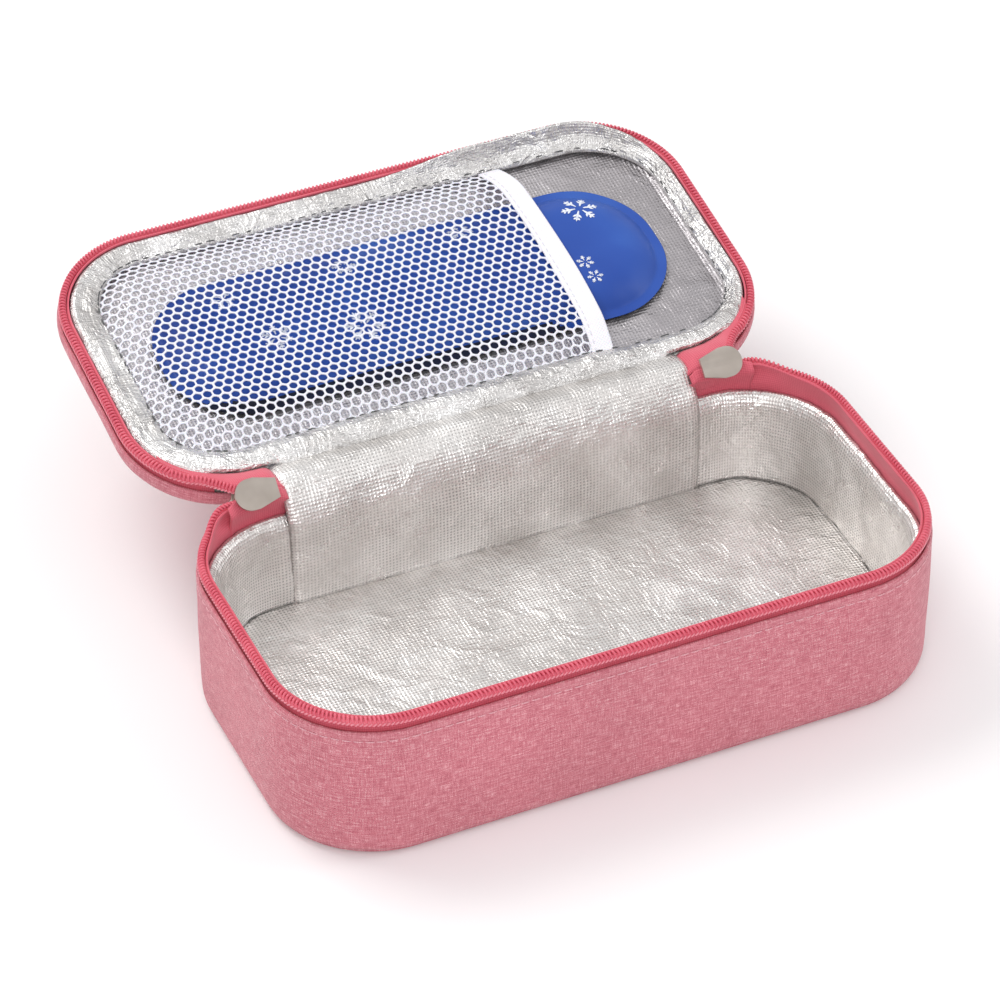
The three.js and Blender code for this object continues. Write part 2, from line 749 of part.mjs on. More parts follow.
// Slider, upright and centred: an inner plate, a post, an outer plate and the bridge for its pull tab.
function plateShape(length, height) {
  const l = length / 2;
  const h = height / 2;
  return new THREE.Shape()
    .moveTo(-l, -h * sliderNose)
    .lineTo(0, -h)
    .absarc(l - h, 0, h, -Math.PI / 2, Math.PI / 2, false)
    .lineTo(0, h)
    .lineTo(-l, h * sliderNose)
    .closePath();
}

function upright(shape, thickness, y) {
  return new THREE.ExtrudeGeometry(shape, { depth: thickness, bevelEnabled: false, curveSegments: 8 })
    .rotateX(Math.PI / 2)
    .translate(0, y + thickness, 0);
}

function makeSliderBody() {
  const inner = upright(plateShape(sliderLength, sliderHeight), sliderPlate, -sliderDepth / 2);
  const outer = upright(
    plateShape(sliderLength, outerPlateHeight),
    sliderPlate,
    sliderDepth / 2 - sliderPlate,
  );
  const post = new THREE.BoxGeometry(sliderPost, sliderDepth - sliderPlate, sliderPost).translate(
    postPlace,
    0,
    0,
  );
  const barLength = bridgeOuterFoot - bridgeInnerFoot + bridgeBar;
  const bar = new THREE.CylinderGeometry(bridgeBar / 2, bridgeBar / 2, barLength, 10)
    .rotateZ(Math.PI / 2)
    .translate((bridgeOuterFoot + bridgeInnerFoot) / 2, sliderDepth / 2 + bridgeRise, 0);
  const footLength = bridgeRise + sliderPlate / 2;
  const foot = (x) =>
    new THREE.BoxGeometry(bridgeBar, footLength, bridgeBar).translate(
      x,
      sliderDepth / 2 + bridgeRise - footLength / 2,
      0,
    );
  return [outer, post, bar, foot(bridgeInnerFoot), foot(bridgeOuterFoot)].reduce(
    (solid, geometry) => solid.add(solidOf(geometry)),
    solidOf(inner),
  );
}

// Pull tab, hanging edge-on from the bridge's bar, with its eye long enough for its swing
function makePull() {
  const swing = THREE.MathUtils.degToRad(pullSwing);
  const eyeWidth = bridgeBar + 2 * pullClearance;
  const eyeNeeds = (bridgeBar + pullThickness * Math.sin(swing)) / Math.cos(swing);
  const eyeLength = eyeNeeds + 2 * pullClearance;
  const round = eyeWidth / 2 + pullRim;
  const top = eyeLength / 2 + pullRim - round;
  const tab = new THREE.Shape()
    .absarc(0, top, round, 0, Math.PI, false)
    .absarc(0, round - pullLength, round, Math.PI, 2 * Math.PI, false)
    .closePath();
  const eye = new THREE.Shape()
    .moveTo(-eyeWidth / 2, -eyeLength / 2)
    .lineTo(eyeWidth / 2, -eyeLength / 2)
    .lineTo(eyeWidth / 2, eyeLength / 2)
    .lineTo(-eyeWidth / 2, eyeLength / 2)
    .closePath();
  tab.holes.push(eye);
  return extrudeAlongX(tab, pullThickness);
}

function makeSlider(label, side) {
  const slider = new THREE.Group();
  const sliderY = backY(sliderX) - sliderInset;
  const tilt = THREE.MathUtils.degToRad(sliderTilt);
  const body = piece(`slider_${label}_body`, geometryOf(makeSliderBody()), metalFinish);
  body.rotation.set(-tilt, side < 0 ? Math.PI : 0, 0);
  const reach = sliderDepth / 2 + bridgeRise;
  const pull = piece(`slider_${label}_pull`, makePull(), metalFinish);
  pull.position.set(side * pullPlace, reach * Math.cos(tilt), -reach * Math.sin(tilt));
  slider.position.set(side * sliderX, sliderY, meetZ);
  slider.add(body, pull);
  return slider;
}

const insulinCase = new THREE.Group();
const lidHinge = new THREE.Group();
lidHinge.position.set(0, hingeY, meetZ);
lidHinge.rotation.x = -openAngle;
const lid = makeLid();
lid.position.set(0, -hingeY, 0);
lidHinge.add(lid);
insulinCase.add(makeTray(), makeHinge(), lidHinge, makeSlider("left", -1), makeSlider("right", 1));

export default insulinCase;
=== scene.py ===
"""Looks of the open insulin case: heather cloth, coil zip, crinkled foil, net pocket and gel pack."""

import math

import bpy
import numpy as np
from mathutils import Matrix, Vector


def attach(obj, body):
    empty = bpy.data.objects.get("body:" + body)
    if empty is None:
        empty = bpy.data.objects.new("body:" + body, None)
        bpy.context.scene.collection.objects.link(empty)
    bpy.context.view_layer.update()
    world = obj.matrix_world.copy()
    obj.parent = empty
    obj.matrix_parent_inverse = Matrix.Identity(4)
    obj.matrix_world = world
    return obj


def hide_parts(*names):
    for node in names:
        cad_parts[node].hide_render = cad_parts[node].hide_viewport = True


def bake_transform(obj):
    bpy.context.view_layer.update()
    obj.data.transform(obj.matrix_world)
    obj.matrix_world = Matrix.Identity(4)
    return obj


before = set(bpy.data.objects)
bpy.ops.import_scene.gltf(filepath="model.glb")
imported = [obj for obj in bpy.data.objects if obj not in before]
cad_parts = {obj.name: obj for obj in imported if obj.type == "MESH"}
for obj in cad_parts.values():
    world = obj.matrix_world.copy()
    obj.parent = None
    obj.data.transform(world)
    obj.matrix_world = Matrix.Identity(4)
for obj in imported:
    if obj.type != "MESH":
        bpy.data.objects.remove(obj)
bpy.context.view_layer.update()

# Sizes in millimetres, as in the solids. Lid points are (x, y, depth) of the closed lid
MM = 0.001
MAP_UNIT = 10  # millimetres for each unit of a map
CASE = (220.0, 116.0, 35.0)
LENGTH, WIDTH, RADIUS = CASE
CORNER_X, CORNER_Y = LENGTH / 2 - RADIUS, WIDTH / 2 - RADIUS
HINGE_Y, MEET_Z = 60.0, 54.3  # axis of the hinge, and the plane where the halves of the zip meet
OPEN = math.radians(170)
HINGE_HALF = 71.0
GEL = (174.7, 59.4, 27.2)
GEL_MIDDLE = (1.7, -1.0)
NET_INSET, NET_FOOT, NET_RISE, NET_SLOPE = 11.4, 4.7, 6.0, 18.0
MOUTH_X, MOUTH_BOW, MOUTH_HALF = 44.1, 2.5, 46.6
HASH_SIZE = 512
RANDOM = np.random.default_rng(11)


# Vectors, noise and curves
def unit(v):
    """Vectors scaled to a length of 1."""
    return v / np.maximum(np.linalg.norm(v, axis=-1, keepdims=True), 1e-9)


HASH = RANDOM.permutation(HASH_SIZE)
GRADIENT = unit(RANDOM.normal(size=(HASH_SIZE, 3)))


def noise(p, size, seed=0.0):
    """Smooth noise of about -0.7 to 0.7 at points in millimetres, with features of that size."""
    q = np.asarray(p, float) / size + seed
    cell = np.floor(q).astype(int)
    f = q - cell
    ease = f * f * f * (f * (f * 6 - 15) + 10)
    total = np.zeros(q.shape[:-1])
    for corner in np.ndindex(2, 2, 2):
        a, b, c = np.moveaxis(cell + corner, -1, 0) % HASH_SIZE
        h = HASH[(HASH[(HASH[a] + b) % HASH_SIZE] + c) % HASH_SIZE]
        share = np.prod(np.where(np.array(corner) == 1, ease, 1 - ease), axis=-1)
        total += share * (GRADIENT[h] * (f - corner)).sum(-1)
    return total


def crumple(p, size, seed=0.0):
    """Creased noise, with the sharp ridges of crumpled foil, of about -1 to 1."""
    coarse = 1 - 4 * np.abs(noise(p, size, seed))
    fine = 1 - 4 * np.abs(noise(p, size * 0.42, seed + 9))
    return np.clip(0.6 * coarse + 0.4 * fine, -0.8, 1)


def step(a, b, x):
    """Smooth rise from 0 at a to 1 at b."""
    t = np.clip((x - a) / (b - a), 0, 1)
    return t * t * (3 - 2 * t)


def rounded(x, y, size):
    """Distance in from the outline of a rounded rectangle."""
    length, width, radius = size
    a = np.abs(x) - (length / 2 - radius)
    b = np.abs(y) - (width / 2 - radius)
    return radius - np.hypot(np.maximum(a, 0), np.maximum(b, 0)) - np.minimum(np.maximum(a, b), 0)


def back_edge(x, inset):
    """y of the outline's back edge at x."""
    reach = np.maximum((RADIUS - inset) ** 2 - np.maximum(np.abs(x) - CORNER_X, 0) ** 2, 0)
    return CORNER_Y + np.sqrt(reach)


def steps_of(line):
    return np.linalg.norm(np.diff(line, axis=0), axis=1)


def length_of(line):
    return float(steps_of(line).sum())


def travelled(line):
    """Distance along a line at each of its points."""
    return np.concatenate([[0], np.cumsum(steps_of(line))])


def smooth_line(points, spacing):
    """A curve through the points, at even spacing."""
    p = np.array(points, float)
    ends = np.vstack([2 * p[0] - p[1], p, 2 * p[-1] - p[-2]])
    t = np.linspace(0, 1, 16, endpoint=False)[:, None]
    parts = []
    for a, b, c, d in zip(ends, ends[1:], ends[2:], ends[3:]):
        bend = (2 * a - 5 * b + 4 * c - d) * t**2 + (3 * b - a - 3 * c + d) * t**3
        parts.append(0.5 * (2 * b + (c - a) * t + bend))
    line = np.vstack([*parts, p[-1:]])
    along = travelled(line)
    at = np.linspace(0, along[-1], max(2, round(along[-1] / spacing) + 1))
    return np.column_stack([np.interp(at, along, line[:, k]) for k in range(line.shape[1])])


class Plan:
    """Outline of a rounded rectangle, anticlockwise seen from above, with the normals that point in.
    Closed, or an open run from the back edge at -back_x round the front to +back_x."""

    def __init__(self, size, spacing, back_x=None):
        length, width, radius = size
        cx, cy = length / 2 - radius, width / 2 - radius
        self.closed = back_x is None
        trim = 90.0 if self.closed else math.degrees(math.acos((back_x - cx) / radius))
        corners = [(-cx, cy, 180 - trim, 180, 2 * cy), (-cx, -cy, 180, 270, 2 * cx)]
        corners += [(cx, -cy, 270, 360, 2 * cy), (cx, cy, 0, trim, 2 * cx * self.closed)]
        rows = []
        for x, y, a, b, straight in corners:
            n = max(2, round(math.radians(b - a) * radius / spacing))
            t = np.radians(np.linspace(a, b, n + 1))
            way = np.column_stack([np.cos(t), np.sin(t)])
            arc = np.hstack([(x, y) + radius * way, -way])
            n = max(1, round(straight / spacing))
            share = np.linspace(0, 1, n + 1)[1:-1, None]
            ahead = straight * np.array([-way[-1, 1], way[-1, 0], 0, 0])
            rows += [arc, arc[-1] + share * ahead]
        self.fill(np.vstack(rows))

    def fill(self, table):
        self.point, self.normal = table[:, :2], table[:, 2:]
        self.along = travelled(self.point)
        last = np.linalg.norm(table[0, :2] - table[-1, :2]) if self.closed else 0.0
        self.length = self.along[-1] + last

    def keep(self, chosen):
        """Leaves only one unbroken run of a closed outline."""
        start = int(np.argmax(~np.roll(chosen, 1) & chosen))
        order = (start + np.arange(chosen.sum())) % len(chosen)
        self.closed = False
        self.fill(np.hstack([self.point, self.normal])[order])

    def loft(self, profile):
        """Grid of points: a row for each (inset, height) of the profile, a column for each station."""
        inset, height = np.asarray(profile, float).T[..., None, None]
        xy = self.point + self.normal * inset
        return np.concatenate([xy, height + 0 * xy[..., :1]], axis=-1)

    def at(self, along, inset, height):
        """Points at distances along the outline."""
        period = self.length if self.closed else None
        table = np.hstack([self.point, self.normal]).T
        x, y, nx, ny = (np.interp(along, self.along, column, period=period) for column in table)
        return np.stack([x + nx * inset, y + ny * inset, height + 0 * x], axis=-1)


def to_middle(rim, half, rows):
    """Rows of points from a rim to a line along its middle."""
    spine = np.stack([np.clip(rim[:, 0], -half, half), 0 * rim[:, 1], rim[:, 2]], -1)
    share = np.linspace(0, 1, rows)[:, None, None]
    return rim * (1 - share) + spine * share


def opened(p):
    """Points of the closed lid, (x, y, depth), where they lie while the lid is open."""
    ahead, depth = p[..., 1] - HINGE_Y, p[..., 2]
    y = HINGE_Y + ahead * math.cos(OPEN) + depth * math.sin(OPEN)
    z = MEET_Z - ahead * math.sin(OPEN) + depth * math.cos(OPEN)
    return np.stack([p[..., 0], y, z], axis=-1)


def outward(p, closed):
    """Unit normals of a grid whose rows go up and whose columns go anticlockwise."""
    along = np.roll(p, -1, 1) - np.roll(p, 1, 1) if closed else np.gradient(p, axis=1)
    return unit(np.cross(along, np.gradient(p, axis=0)))


# Meshes
def put(name, data):
    """A new object in the scene."""
    made = bpy.data.objects.new(name, data)
    bpy.context.scene.collection.objects.link(made)
    return made


class Shape:
    """Collects grids and small solids, in millimetres, into one mesh with a map in centimetres."""

    def __init__(self):
        self.points, self.faces, self.maps, self.count = [], [], [], 0

    def add(self, points, faces, maps):
        self.points.append(np.asarray(points, float).reshape(-1, 3))
        self.faces.extend([tuple(i + self.count for i in f) for f in faces])
        self.maps.extend(maps)
        self.count += len(self.points[-1])
        return self

    def grid(self, p, closed=False, ring=False, turn=False, u=None, v=None, flat=False):
        """closed joins the last column to the first, ring the last row to the first; flat maps by x, y."""
        rows, columns = p.shape[:2]
        u = travelled(p[rows // 2]) if u is None else u
        v = travelled(p[:, columns // 2]) if v is None else v
        u, v = (np.append(a, 2 * a[-1] - a[-2]) / MAP_UNIT for a in (u, v))
        level = p.reshape(-1, 3)
        faces, maps = [], []
        for r in range(rows if ring else rows - 1):
            for c in range(columns if closed else columns - 1):
                r1, c1 = (r + 1) % rows, (c + 1) % columns
                f = [r * columns + c, r * columns + c1, r1 * columns + c1, r1 * columns + c]
                m = [(u[c], v[r]), (u[c + 1], v[r]), (u[c + 1], v[r + 1]), (u[c], v[r + 1])]
                if flat:
                    m = [tuple(level[i][:2] / MAP_UNIT) for i in f]
                faces.append(f[::-1] if turn else f)
                maps.extend(m[::-1] if turn else m)
        return self.add(level, faces, maps)

    def cap(self, p, turn=False):
        """A flat filled loop of points."""
        order = list(range(len(p)))
        loop = order[::-1] if turn else order
        return self.add(p, [loop], [tuple(p[i][:2] / MAP_UNIT) for i in loop])

    def threads(self, middle, along, out, length, radius, flat=0.7, sides=6):
        """Stitches: short rounded bars at the middles, lying along one direction on a surface."""
        middle, along, out = (np.asarray(a, float).reshape(-1, 3) for a in (middle, along, out))
        along = unit(along)
        across = unit(np.cross(along, out))
        up = np.cross(across, along)
        # Rings along a stitch: share of its length, of its radius, and lift
        places = [(-0.5, 0.3, -0.5), (-0.36, 0.9, 0.0), (0.0, 1.0, 0.25), (0.36, 0.9, 0.0), (0.5, 0.3, -0.5)]
        turn = 2 * math.pi * np.arange(sides) / sides
        for k in range(len(middle)):
            rings = []
            for t, share, lift in places:
                centre = middle[k] + along[k] * (t * length) + up[k] * (lift * radius)
                around = np.outer(np.cos(turn), across[k]) + np.outer(np.sin(turn) * flat, up[k])
                rings.append(centre + around * radius * share)
            p = np.stack(rings)
            self.grid(p, closed=True, u=np.arange(sides) * 0.3, v=np.arange(len(places)) * 0.5)
            self.cap(p[0], turn=True)
            self.cap(p[-1])
        return self

    def tube(self, line, normal, radius, sides=6):
        """A round bar along a line of points, with a normal for each point."""
        tangent = unit(np.gradient(line, axis=0))
        side = unit(np.cross(tangent, normal))
        up = np.cross(side, tangent)
        turn = 2 * math.pi * np.arange(sides) / sides
        r = np.broadcast_to(np.asarray(radius, float), len(line))[:, None, None]
        ring = np.cos(turn)[None, :, None] * side[:, None] + np.sin(turn)[None, :, None] * up[:, None]
        p = line[:, None] + ring * r
        self.grid(p, closed=True, u=np.arange(sides) * 0.4)
        self.cap(p[0], turn=True)
        return self.cap(p[-1])

    def build(self, name, place=None):
        points = np.vstack(self.points)
        if place is not None:
            points = place(points)
        mesh = bpy.data.meshes.new(name)
        mesh.from_pydata((points * MM).tolist(), [], self.faces)
        layer = mesh.uv_layers.new(name="UVMap")
        layer.data.foreach_set("uv", np.array(self.maps, np.float32).ravel())
        mesh.polygons.foreach_set("use_smooth", [True] * len(mesh.polygons))
        mesh.validate()
        mesh.update()
        return put(name, mesh)


def thicken(piece, thickness, offset):
    """Gives a sheet its thickness in millimetres."""
    layer = piece.modifiers.new("thickness", "SOLIDIFY")
    layer.thickness = thickness * MM
    layer.offset = offset
    layer.use_rim = True
    return piece


def clean(piece, distance=0.02):
    """Joins points that lie together."""
    weld = piece.modifiers.new("weld", "WELD")
    weld.merge_threshold = distance * MM
    return piece


# Materials
class Paint:
    """A procedural material: a few words for making and joining nodes."""

    def __init__(self, name, **surface):
        self.material = bpy.data.materials.new(name)
        self.material.use_nodes = True
        self.tree = self.material.node_tree
        self.shader = self.tree.nodes["Principled BSDF"]
        self.join(**surface)
        coordinates = self.tree.nodes.new("ShaderNodeTexCoord")
        self.map = coordinates.outputs["UV"]
        self.place = coordinates.outputs["Object"]

    def feed(self, socket, value):
        """Joins another node's output to a socket, or sets the socket's constant."""
        if hasattr(value, "node"):
            self.tree.links.new(value, socket)
        else:
            socket.default_value = value

    def node(self, kind, **values):
        made = self.tree.nodes.new("ShaderNode" + kind)
        for key, value in values.items():
            socket = made.inputs.get(key.replace("_", " "))
            if socket is None:
                setattr(made, key, value)
            else:
                self.feed(socket, value)
        return made

    def join(self, **inputs):
        """Sets or joins inputs of the surface, and returns the material."""
        for socket, value in inputs.items():
            self.feed(self.shader.inputs[socket.replace("_", " ")], value)
        return self.material

    def scaled(self, source, scale, turn=0.0):
        made = self.node("Mapping", Vector=source, Scale=scale, Rotation=(0, 0, turn))
        return made.outputs["Vector"]

    def noise(self, scale, detail=2.0, roughness=0.55, source=None):
        source = self.place if source is None else source
        made = self.node("TexNoise", Vector=source, Scale=scale, Detail=detail, Roughness=roughness)
        return made.outputs["Fac"]

    def math(self, operation, *values):
        made = self.node("Math", operation=operation)
        for socket, value in zip(made.inputs, values):
            self.feed(socket, value)
        return made.outputs[0]

    def sum(self, a, part_a, b, part_b):
        """Two values, each times its part, added up."""
        return self.math("ADD", self.math("MULTIPLY", a, part_a), self.math("MULTIPLY", b, part_b))

    def ramp(self, factor, *stops):
        made = self.node("ValToRGB", Fac=factor)
        band = made.color_ramp.elements
        while len(band) < len(stops):
            band.new(0.5)
        for element, (place, colour) in zip(band, stops):
            element.position = place
            element.color = (*colour, 1)
        return made.outputs["Color"]

    def grey(self, factor, low, high, start=0.0, end=1.0):
        made = self.node("MapRange", Value=factor, From_Min=start, From_Max=end, To_Min=low, To_Max=high)
        return made.outputs["Result"]

    def mix(self, factor, a, b, blend="MIX"):
        made = self.node("Mix", data_type="RGBA", blend_type=blend)
        for socket, value in zip((made.inputs["Factor"], made.inputs[6], made.inputs[7]), (factor, a, b)):
            self.feed(socket, (*value, 1) if isinstance(value, tuple) else value)
        return made.outputs[2]

    def waves(self, pitch_cm, turn=0.0):
        """Dots on a square grid of the map: a height of 0 to 1."""
        grid = self.scaled(self.map, (1 / pitch_cm, 1 / pitch_cm, 1), turn)
        split = self.node("SeparateXYZ", Vector=grid)
        a, b = (self.math("SINE", self.math("MULTIPLY", k, 2 * math.pi)) for k in split.outputs[:2])
        return self.grey(self.math("MULTIPLY", a, b), 0.0, 1.0, -1.0, 1.0)

    def bump(self, height, distance, strength=1.0, under=None):
        made = self.node("Bump", Height=height, Distance=distance * MM, Strength=strength)
        if under is not None:
            self.feed(made.inputs["Normal"], under)
        return made.outputs["Normal"]


def heather_cloth():
    p = Paint("heather_cloth", Roughness=0.88, Sheen_Weight=0.15, Sheen_Roughness=0.5)
    weft = p.noise(1.0, 2.5, 0.62, p.scaled(p.map, (2.1, 23, 1)))
    warp = p.noise(1.0, 2.5, 0.62, p.scaled(p.map, (23, 2.6, 1)))
    fleck = p.noise(2.2, 1.0, source=p.scaled(p.map, (14, 14, 1)))
    mixed = p.sum(p.sum(weft, 0.56, warp, 0.44), 0.72, fleck, 0.28)
    colour = p.ramp(
        mixed,
        (0.36, (0.40, 0.082, 0.118)),
        (0.47, (0.555, 0.155, 0.196)),
        (0.53, (0.620, 0.208, 0.248)),
        (0.63, (0.82, 0.440, 0.470)),
    )
    patch = p.grey(p.noise(26.0), 0.93, 1.06, 0.3, 0.7)
    return p.join(
        Base_Color=p.mix(1.0, colour, patch, "MULTIPLY"),
        Roughness=p.grey(mixed, 0.95, 0.74, 0.3, 0.7),
        Normal=p.bump(p.sum(p.waves(0.09), 0.5, mixed, 0.9), 0.26, 0.7),
    )


def zip_fabric():
    p = Paint("zip_tape_weave", Roughness=0.75, Sheen_Weight=0.15)
    rib = p.waves(0.10, math.radians(45))
    colour = p.ramp(
        p.sum(rib, 0.5, p.noise(60.0), 0.5),
        (0.2, (0.60, 0.078, 0.122)),
        (0.6, (0.72, 0.128, 0.178)),
        (0.9, (0.80, 0.200, 0.250)),
    )
    return p.join(Base_Color=colour, Normal=p.bump(rib, 0.12, 0.5))


def coil_plastic():
    p = Paint("coil_plastic", Roughness=0.42, Coat_Weight=0.1)
    return p.join(
        Base_Color=p.ramp(p.noise(90.0), (0.3, (0.66, 0.090, 0.140)), (0.7, (0.77, 0.140, 0.195))),
        Roughness=p.grey(p.noise(700.0, 1.0), 0.36, 0.54),
        Normal=p.bump(p.noise(2500.0, 1.0), 0.04, 0.4),
    )


def thread(name, dark, light):
    p = Paint(name, Roughness=0.7, Sheen_Weight=0.2)
    twist = p.waves(0.05, math.radians(30))
    return p.join(Base_Color=p.ramp(twist, (0.1, dark), (0.8, light)), Normal=p.bump(twist, 0.08, 0.6))


def foil(name, dots, crease, low, high, shade=False):
    """Embossed, creased foil with dull dots. shade turns it greyer towards +X: painted shade."""
    p = Paint(name, Metallic=0.82, Roughness=0.34)
    emboss = p.waves(0.165, math.radians(45))
    shown = p.grey(p.noise(34.0), 0.25, 1.0, 0.30, 0.60)
    dot = p.math("MULTIPLY", p.grey(emboss, 0.0, 1.0, 0.55, 0.95), shown)
    middle = tuple((a + b) / 2 for a, b in zip(low, high))
    base = p.ramp(p.noise(48.0, 3.0), (0.30, low), (0.52, middle), (0.72, high))
    if shade:
        # Greyer towards +X: painted shade on the foil.
        side = p.node("SeparateXYZ", Vector=p.place).outputs[0]
        base = p.mix(p.grey(side, 0.0, 1.0, 0.02, 0.075), base, (0.46, 0.435, 0.45))
    folds = p.node("TexNoise", Vector=p.place, Scale=110.0, Detail=4.0, Roughness=0.6, Distortion=0.6)
    ridge = p.math("ABSOLUTE", p.math("SUBTRACT", folds.outputs["Fac"], 0.5))
    return p.join(
        Base_Color=p.mix(p.math("MULTIPLY", dot, dots), base, (0.20, 0.19, 0.185)),
        Roughness=p.grey(p.noise(130.0, 3.0), 0.24, 0.50, 0.3, 0.7),
        Normal=p.bump(emboss, 0.22, 0.55, p.bump(ridge, 3.2 * crease, 0.8)),
    )


def white_cloth(name, pitch, colour, shade):
    p = Paint(name, Roughness=0.8, Sheen_Weight=0.2, Subsurface_Weight=0.05, Subsurface_Scale=0.002)
    rib = p.waves(pitch)
    mixed = p.sum(rib, 0.5, p.noise(150.0, 3.0), 0.5)
    return p.join(Base_Color=p.ramp(mixed, (0.25, shade), (0.6, colour)), Normal=p.bump(rib, 0.14, 0.5))


def gel_film(name, dark, middle, light):
    p = Paint(name, Roughness=0.36, Specular_IOR_Level=0.26)
    return p.join(
        Base_Color=p.ramp(p.noise(22.0, 2.5), (0.3, dark), (0.52, middle), (0.72, light)),
        Roughness=p.grey(p.noise(160.0), 0.30, 0.46),
        Normal=p.bump(p.noise(60.0, 3.0), 0.9, 0.3),
    )


def grained(name, roughness, scale, detail, dark, light, height=None):
    """A plain material with a fine grain. dark and light are the stops of its ramp."""
    p = Paint(name, Roughness=roughness)
    grain = p.noise(scale, detail)
    if height:
        p.join(Normal=p.bump(grain, height, 0.4))
    return p.join(Base_Color=p.ramp(grain, dark, light))


def plated_metal():
    p = Paint("plated_metal", Metallic=0.9, Roughness=0.34)
    brushed = p.noise(1.0, source=p.scaled(p.place, (60, 500, 500)))
    return p.join(
        Base_Color=p.ramp(p.noise(120.0), (0.3, (0.46, 0.405, 0.355)), (0.7, (0.56, 0.500, 0.445))),
        Roughness=p.grey(brushed, 0.30, 0.44, 0.3, 0.7),
        Normal=p.bump(brushed, 0.01, 0.2),
    )


def soft_foam():
    p = Paint("soft_foam", Roughness=0.95)
    cells = p.node("TexVoronoi", Vector=p.place, Scale=1400.0).outputs["Distance"]
    colour = p.ramp(cells, (0.1, (0.62, 0.61, 0.58)), (0.6, (0.88, 0.87, 0.83)))
    return p.join(Base_Color=colour, Normal=p.bump(cells, 0.3, 0.8))


CLOTH = heather_cloth()
TAPE = zip_fabric()
COIL = coil_plastic()
HEM_THREAD = thread("hem_thread", (0.62, 0.26, 0.31), (0.83, 0.47, 0.51))
COIL_THREAD = thread("coil_thread", (0.74, 0.17, 0.23), (0.88, 0.33, 0.39))
# Near-black thread for the lid border's real stitches, dark as painted shade of the seam.
SEAM_SHADOW_THREAD = thread("seam_shadow_thread", (0.030, 0.030, 0.034), (0.12, 0.12, 0.125))
WHITE_THREAD = thread("white_thread", (0.62, 0.60, 0.66), (0.88, 0.87, 0.92))
FOIL = foil("crinkled_foil", 0.72, 0.55, (0.70, 0.67, 0.645), (0.95, 0.93, 0.91))
# The lid's foil is painted greyer towards +X: painted shade.
PANEL_FOIL = foil("lid_foil", 0.50, 0.45, (0.66, 0.635, 0.65), (0.82, 0.80, 0.82), shade=True)
BORDER_FOIL = foil("gathered_foil", 0.22, 1.5, (0.62, 0.60, 0.585), (0.93, 0.92, 0.91))
NET = white_cloth("net_yarn", 0.06, (0.88, 0.87, 0.93), (0.76, 0.75, 0.84))
ELASTIC = white_cloth("elastic_rib", 0.12, (0.90, 0.88, 0.93), (0.80, 0.78, 0.85))
FILM = gel_film("gel_film", (0.020, 0.066, 0.335), (0.027, 0.086, 0.39), (0.042, 0.130, 0.48))
# Near-black film for the gel pack's back and its hinge-side rim: painted shade under the pack.
PAINTED_SHADE_FILM = gel_film("gel_back_film", (0.004, 0.006, 0.020), (0.006, 0.010, 0.034), (0.010, 0.018, 0.060))
INK = grained("print_ink", 0.5, 900.0, 2.0, (0.3, (0.66, 0.72, 0.86)), (0.6, (0.88, 0.91, 0.97)), 0.05)
METAL = plated_metal()
FOAM = soft_foam()
BOARD = grained("plain_board", 0.6, 500.0, 3.0, (0.3, (0.66, 0.66, 0.65)), (0.7, (0.80, 0.80, 0.78)), 0.1)
FLOOR = grained("pale_floor", 0.8, 5.0, 2.0, (0.3, (0.92, 0.92, 0.92)), (0.7, (0.94, 0.94, 0.94)))


def finish(piece, material, body, slot, *nodes):
    """Paints a piece, ties it to its body and lets it stand for the solids."""
    piece.data.materials.clear()
    piece.data.materials.append(material)
    if body:
        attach(piece, body)
    if nodes:
        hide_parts(*nodes)
    return piece


# Outer cloth of the tray and the lid
CASE_PLAN = Plan(CASE, 1.9)


def tray_cloth():
    """Sewn wall of cloth, a little slack between its foot seam and its folded hem."""
    line = [(1.6, 2.1), (0.95, 1.8), (0.45, 2.5), (0.1, 4.0), (-0.05, 7.0), (-0.3, 14.0), (-0.4, 26.0)]
    line += [(-0.2, 38.0), (0.02, 44.3), (0.26, 45.6), (0.02, 46.9), (-0.02, 48.1), (0.22, 48.8)]
    line += [(0.7, 49.0), (1.15, 48.75), (1.2, 47.8), (1.25, 44.0), (1.25, 6.0)]
    profile = smooth_line(line, 0.9)
    p = CASE_PLAN.loft(profile)
    high = p[..., 2]
    outer = step(0.9, 0.2, profile[:, 0])[:, None]
    slack = step(4.0, 12.0, high) * (1 - step(38.0, 43.0, high)) * outer
    swell = (0.75 * noise(p, 46, 0.0) + 0.30 * noise(p, 17, 4.0)) * (1 - 0.9 * step(38, 50, p[..., 1]))
    p = p - np.array((0, 0.35, 0)) * (slack * step(50, 57, p[..., 1]))[..., None]
    p = p + outward(p, True) * (slack * swell)[..., None]
    p[..., 2] += 0.28 * noise(p * (1, 1, 0.2), 24, 8.0) * step(42, 48, high)
    piece = Shape().grid(p, closed=True, ring=True, u=CASE_PLAN.along).build("base_wall_cloth")
    finish(piece, CLOTH, "base", "outer_cloth", "base_side_panel")
    return piece


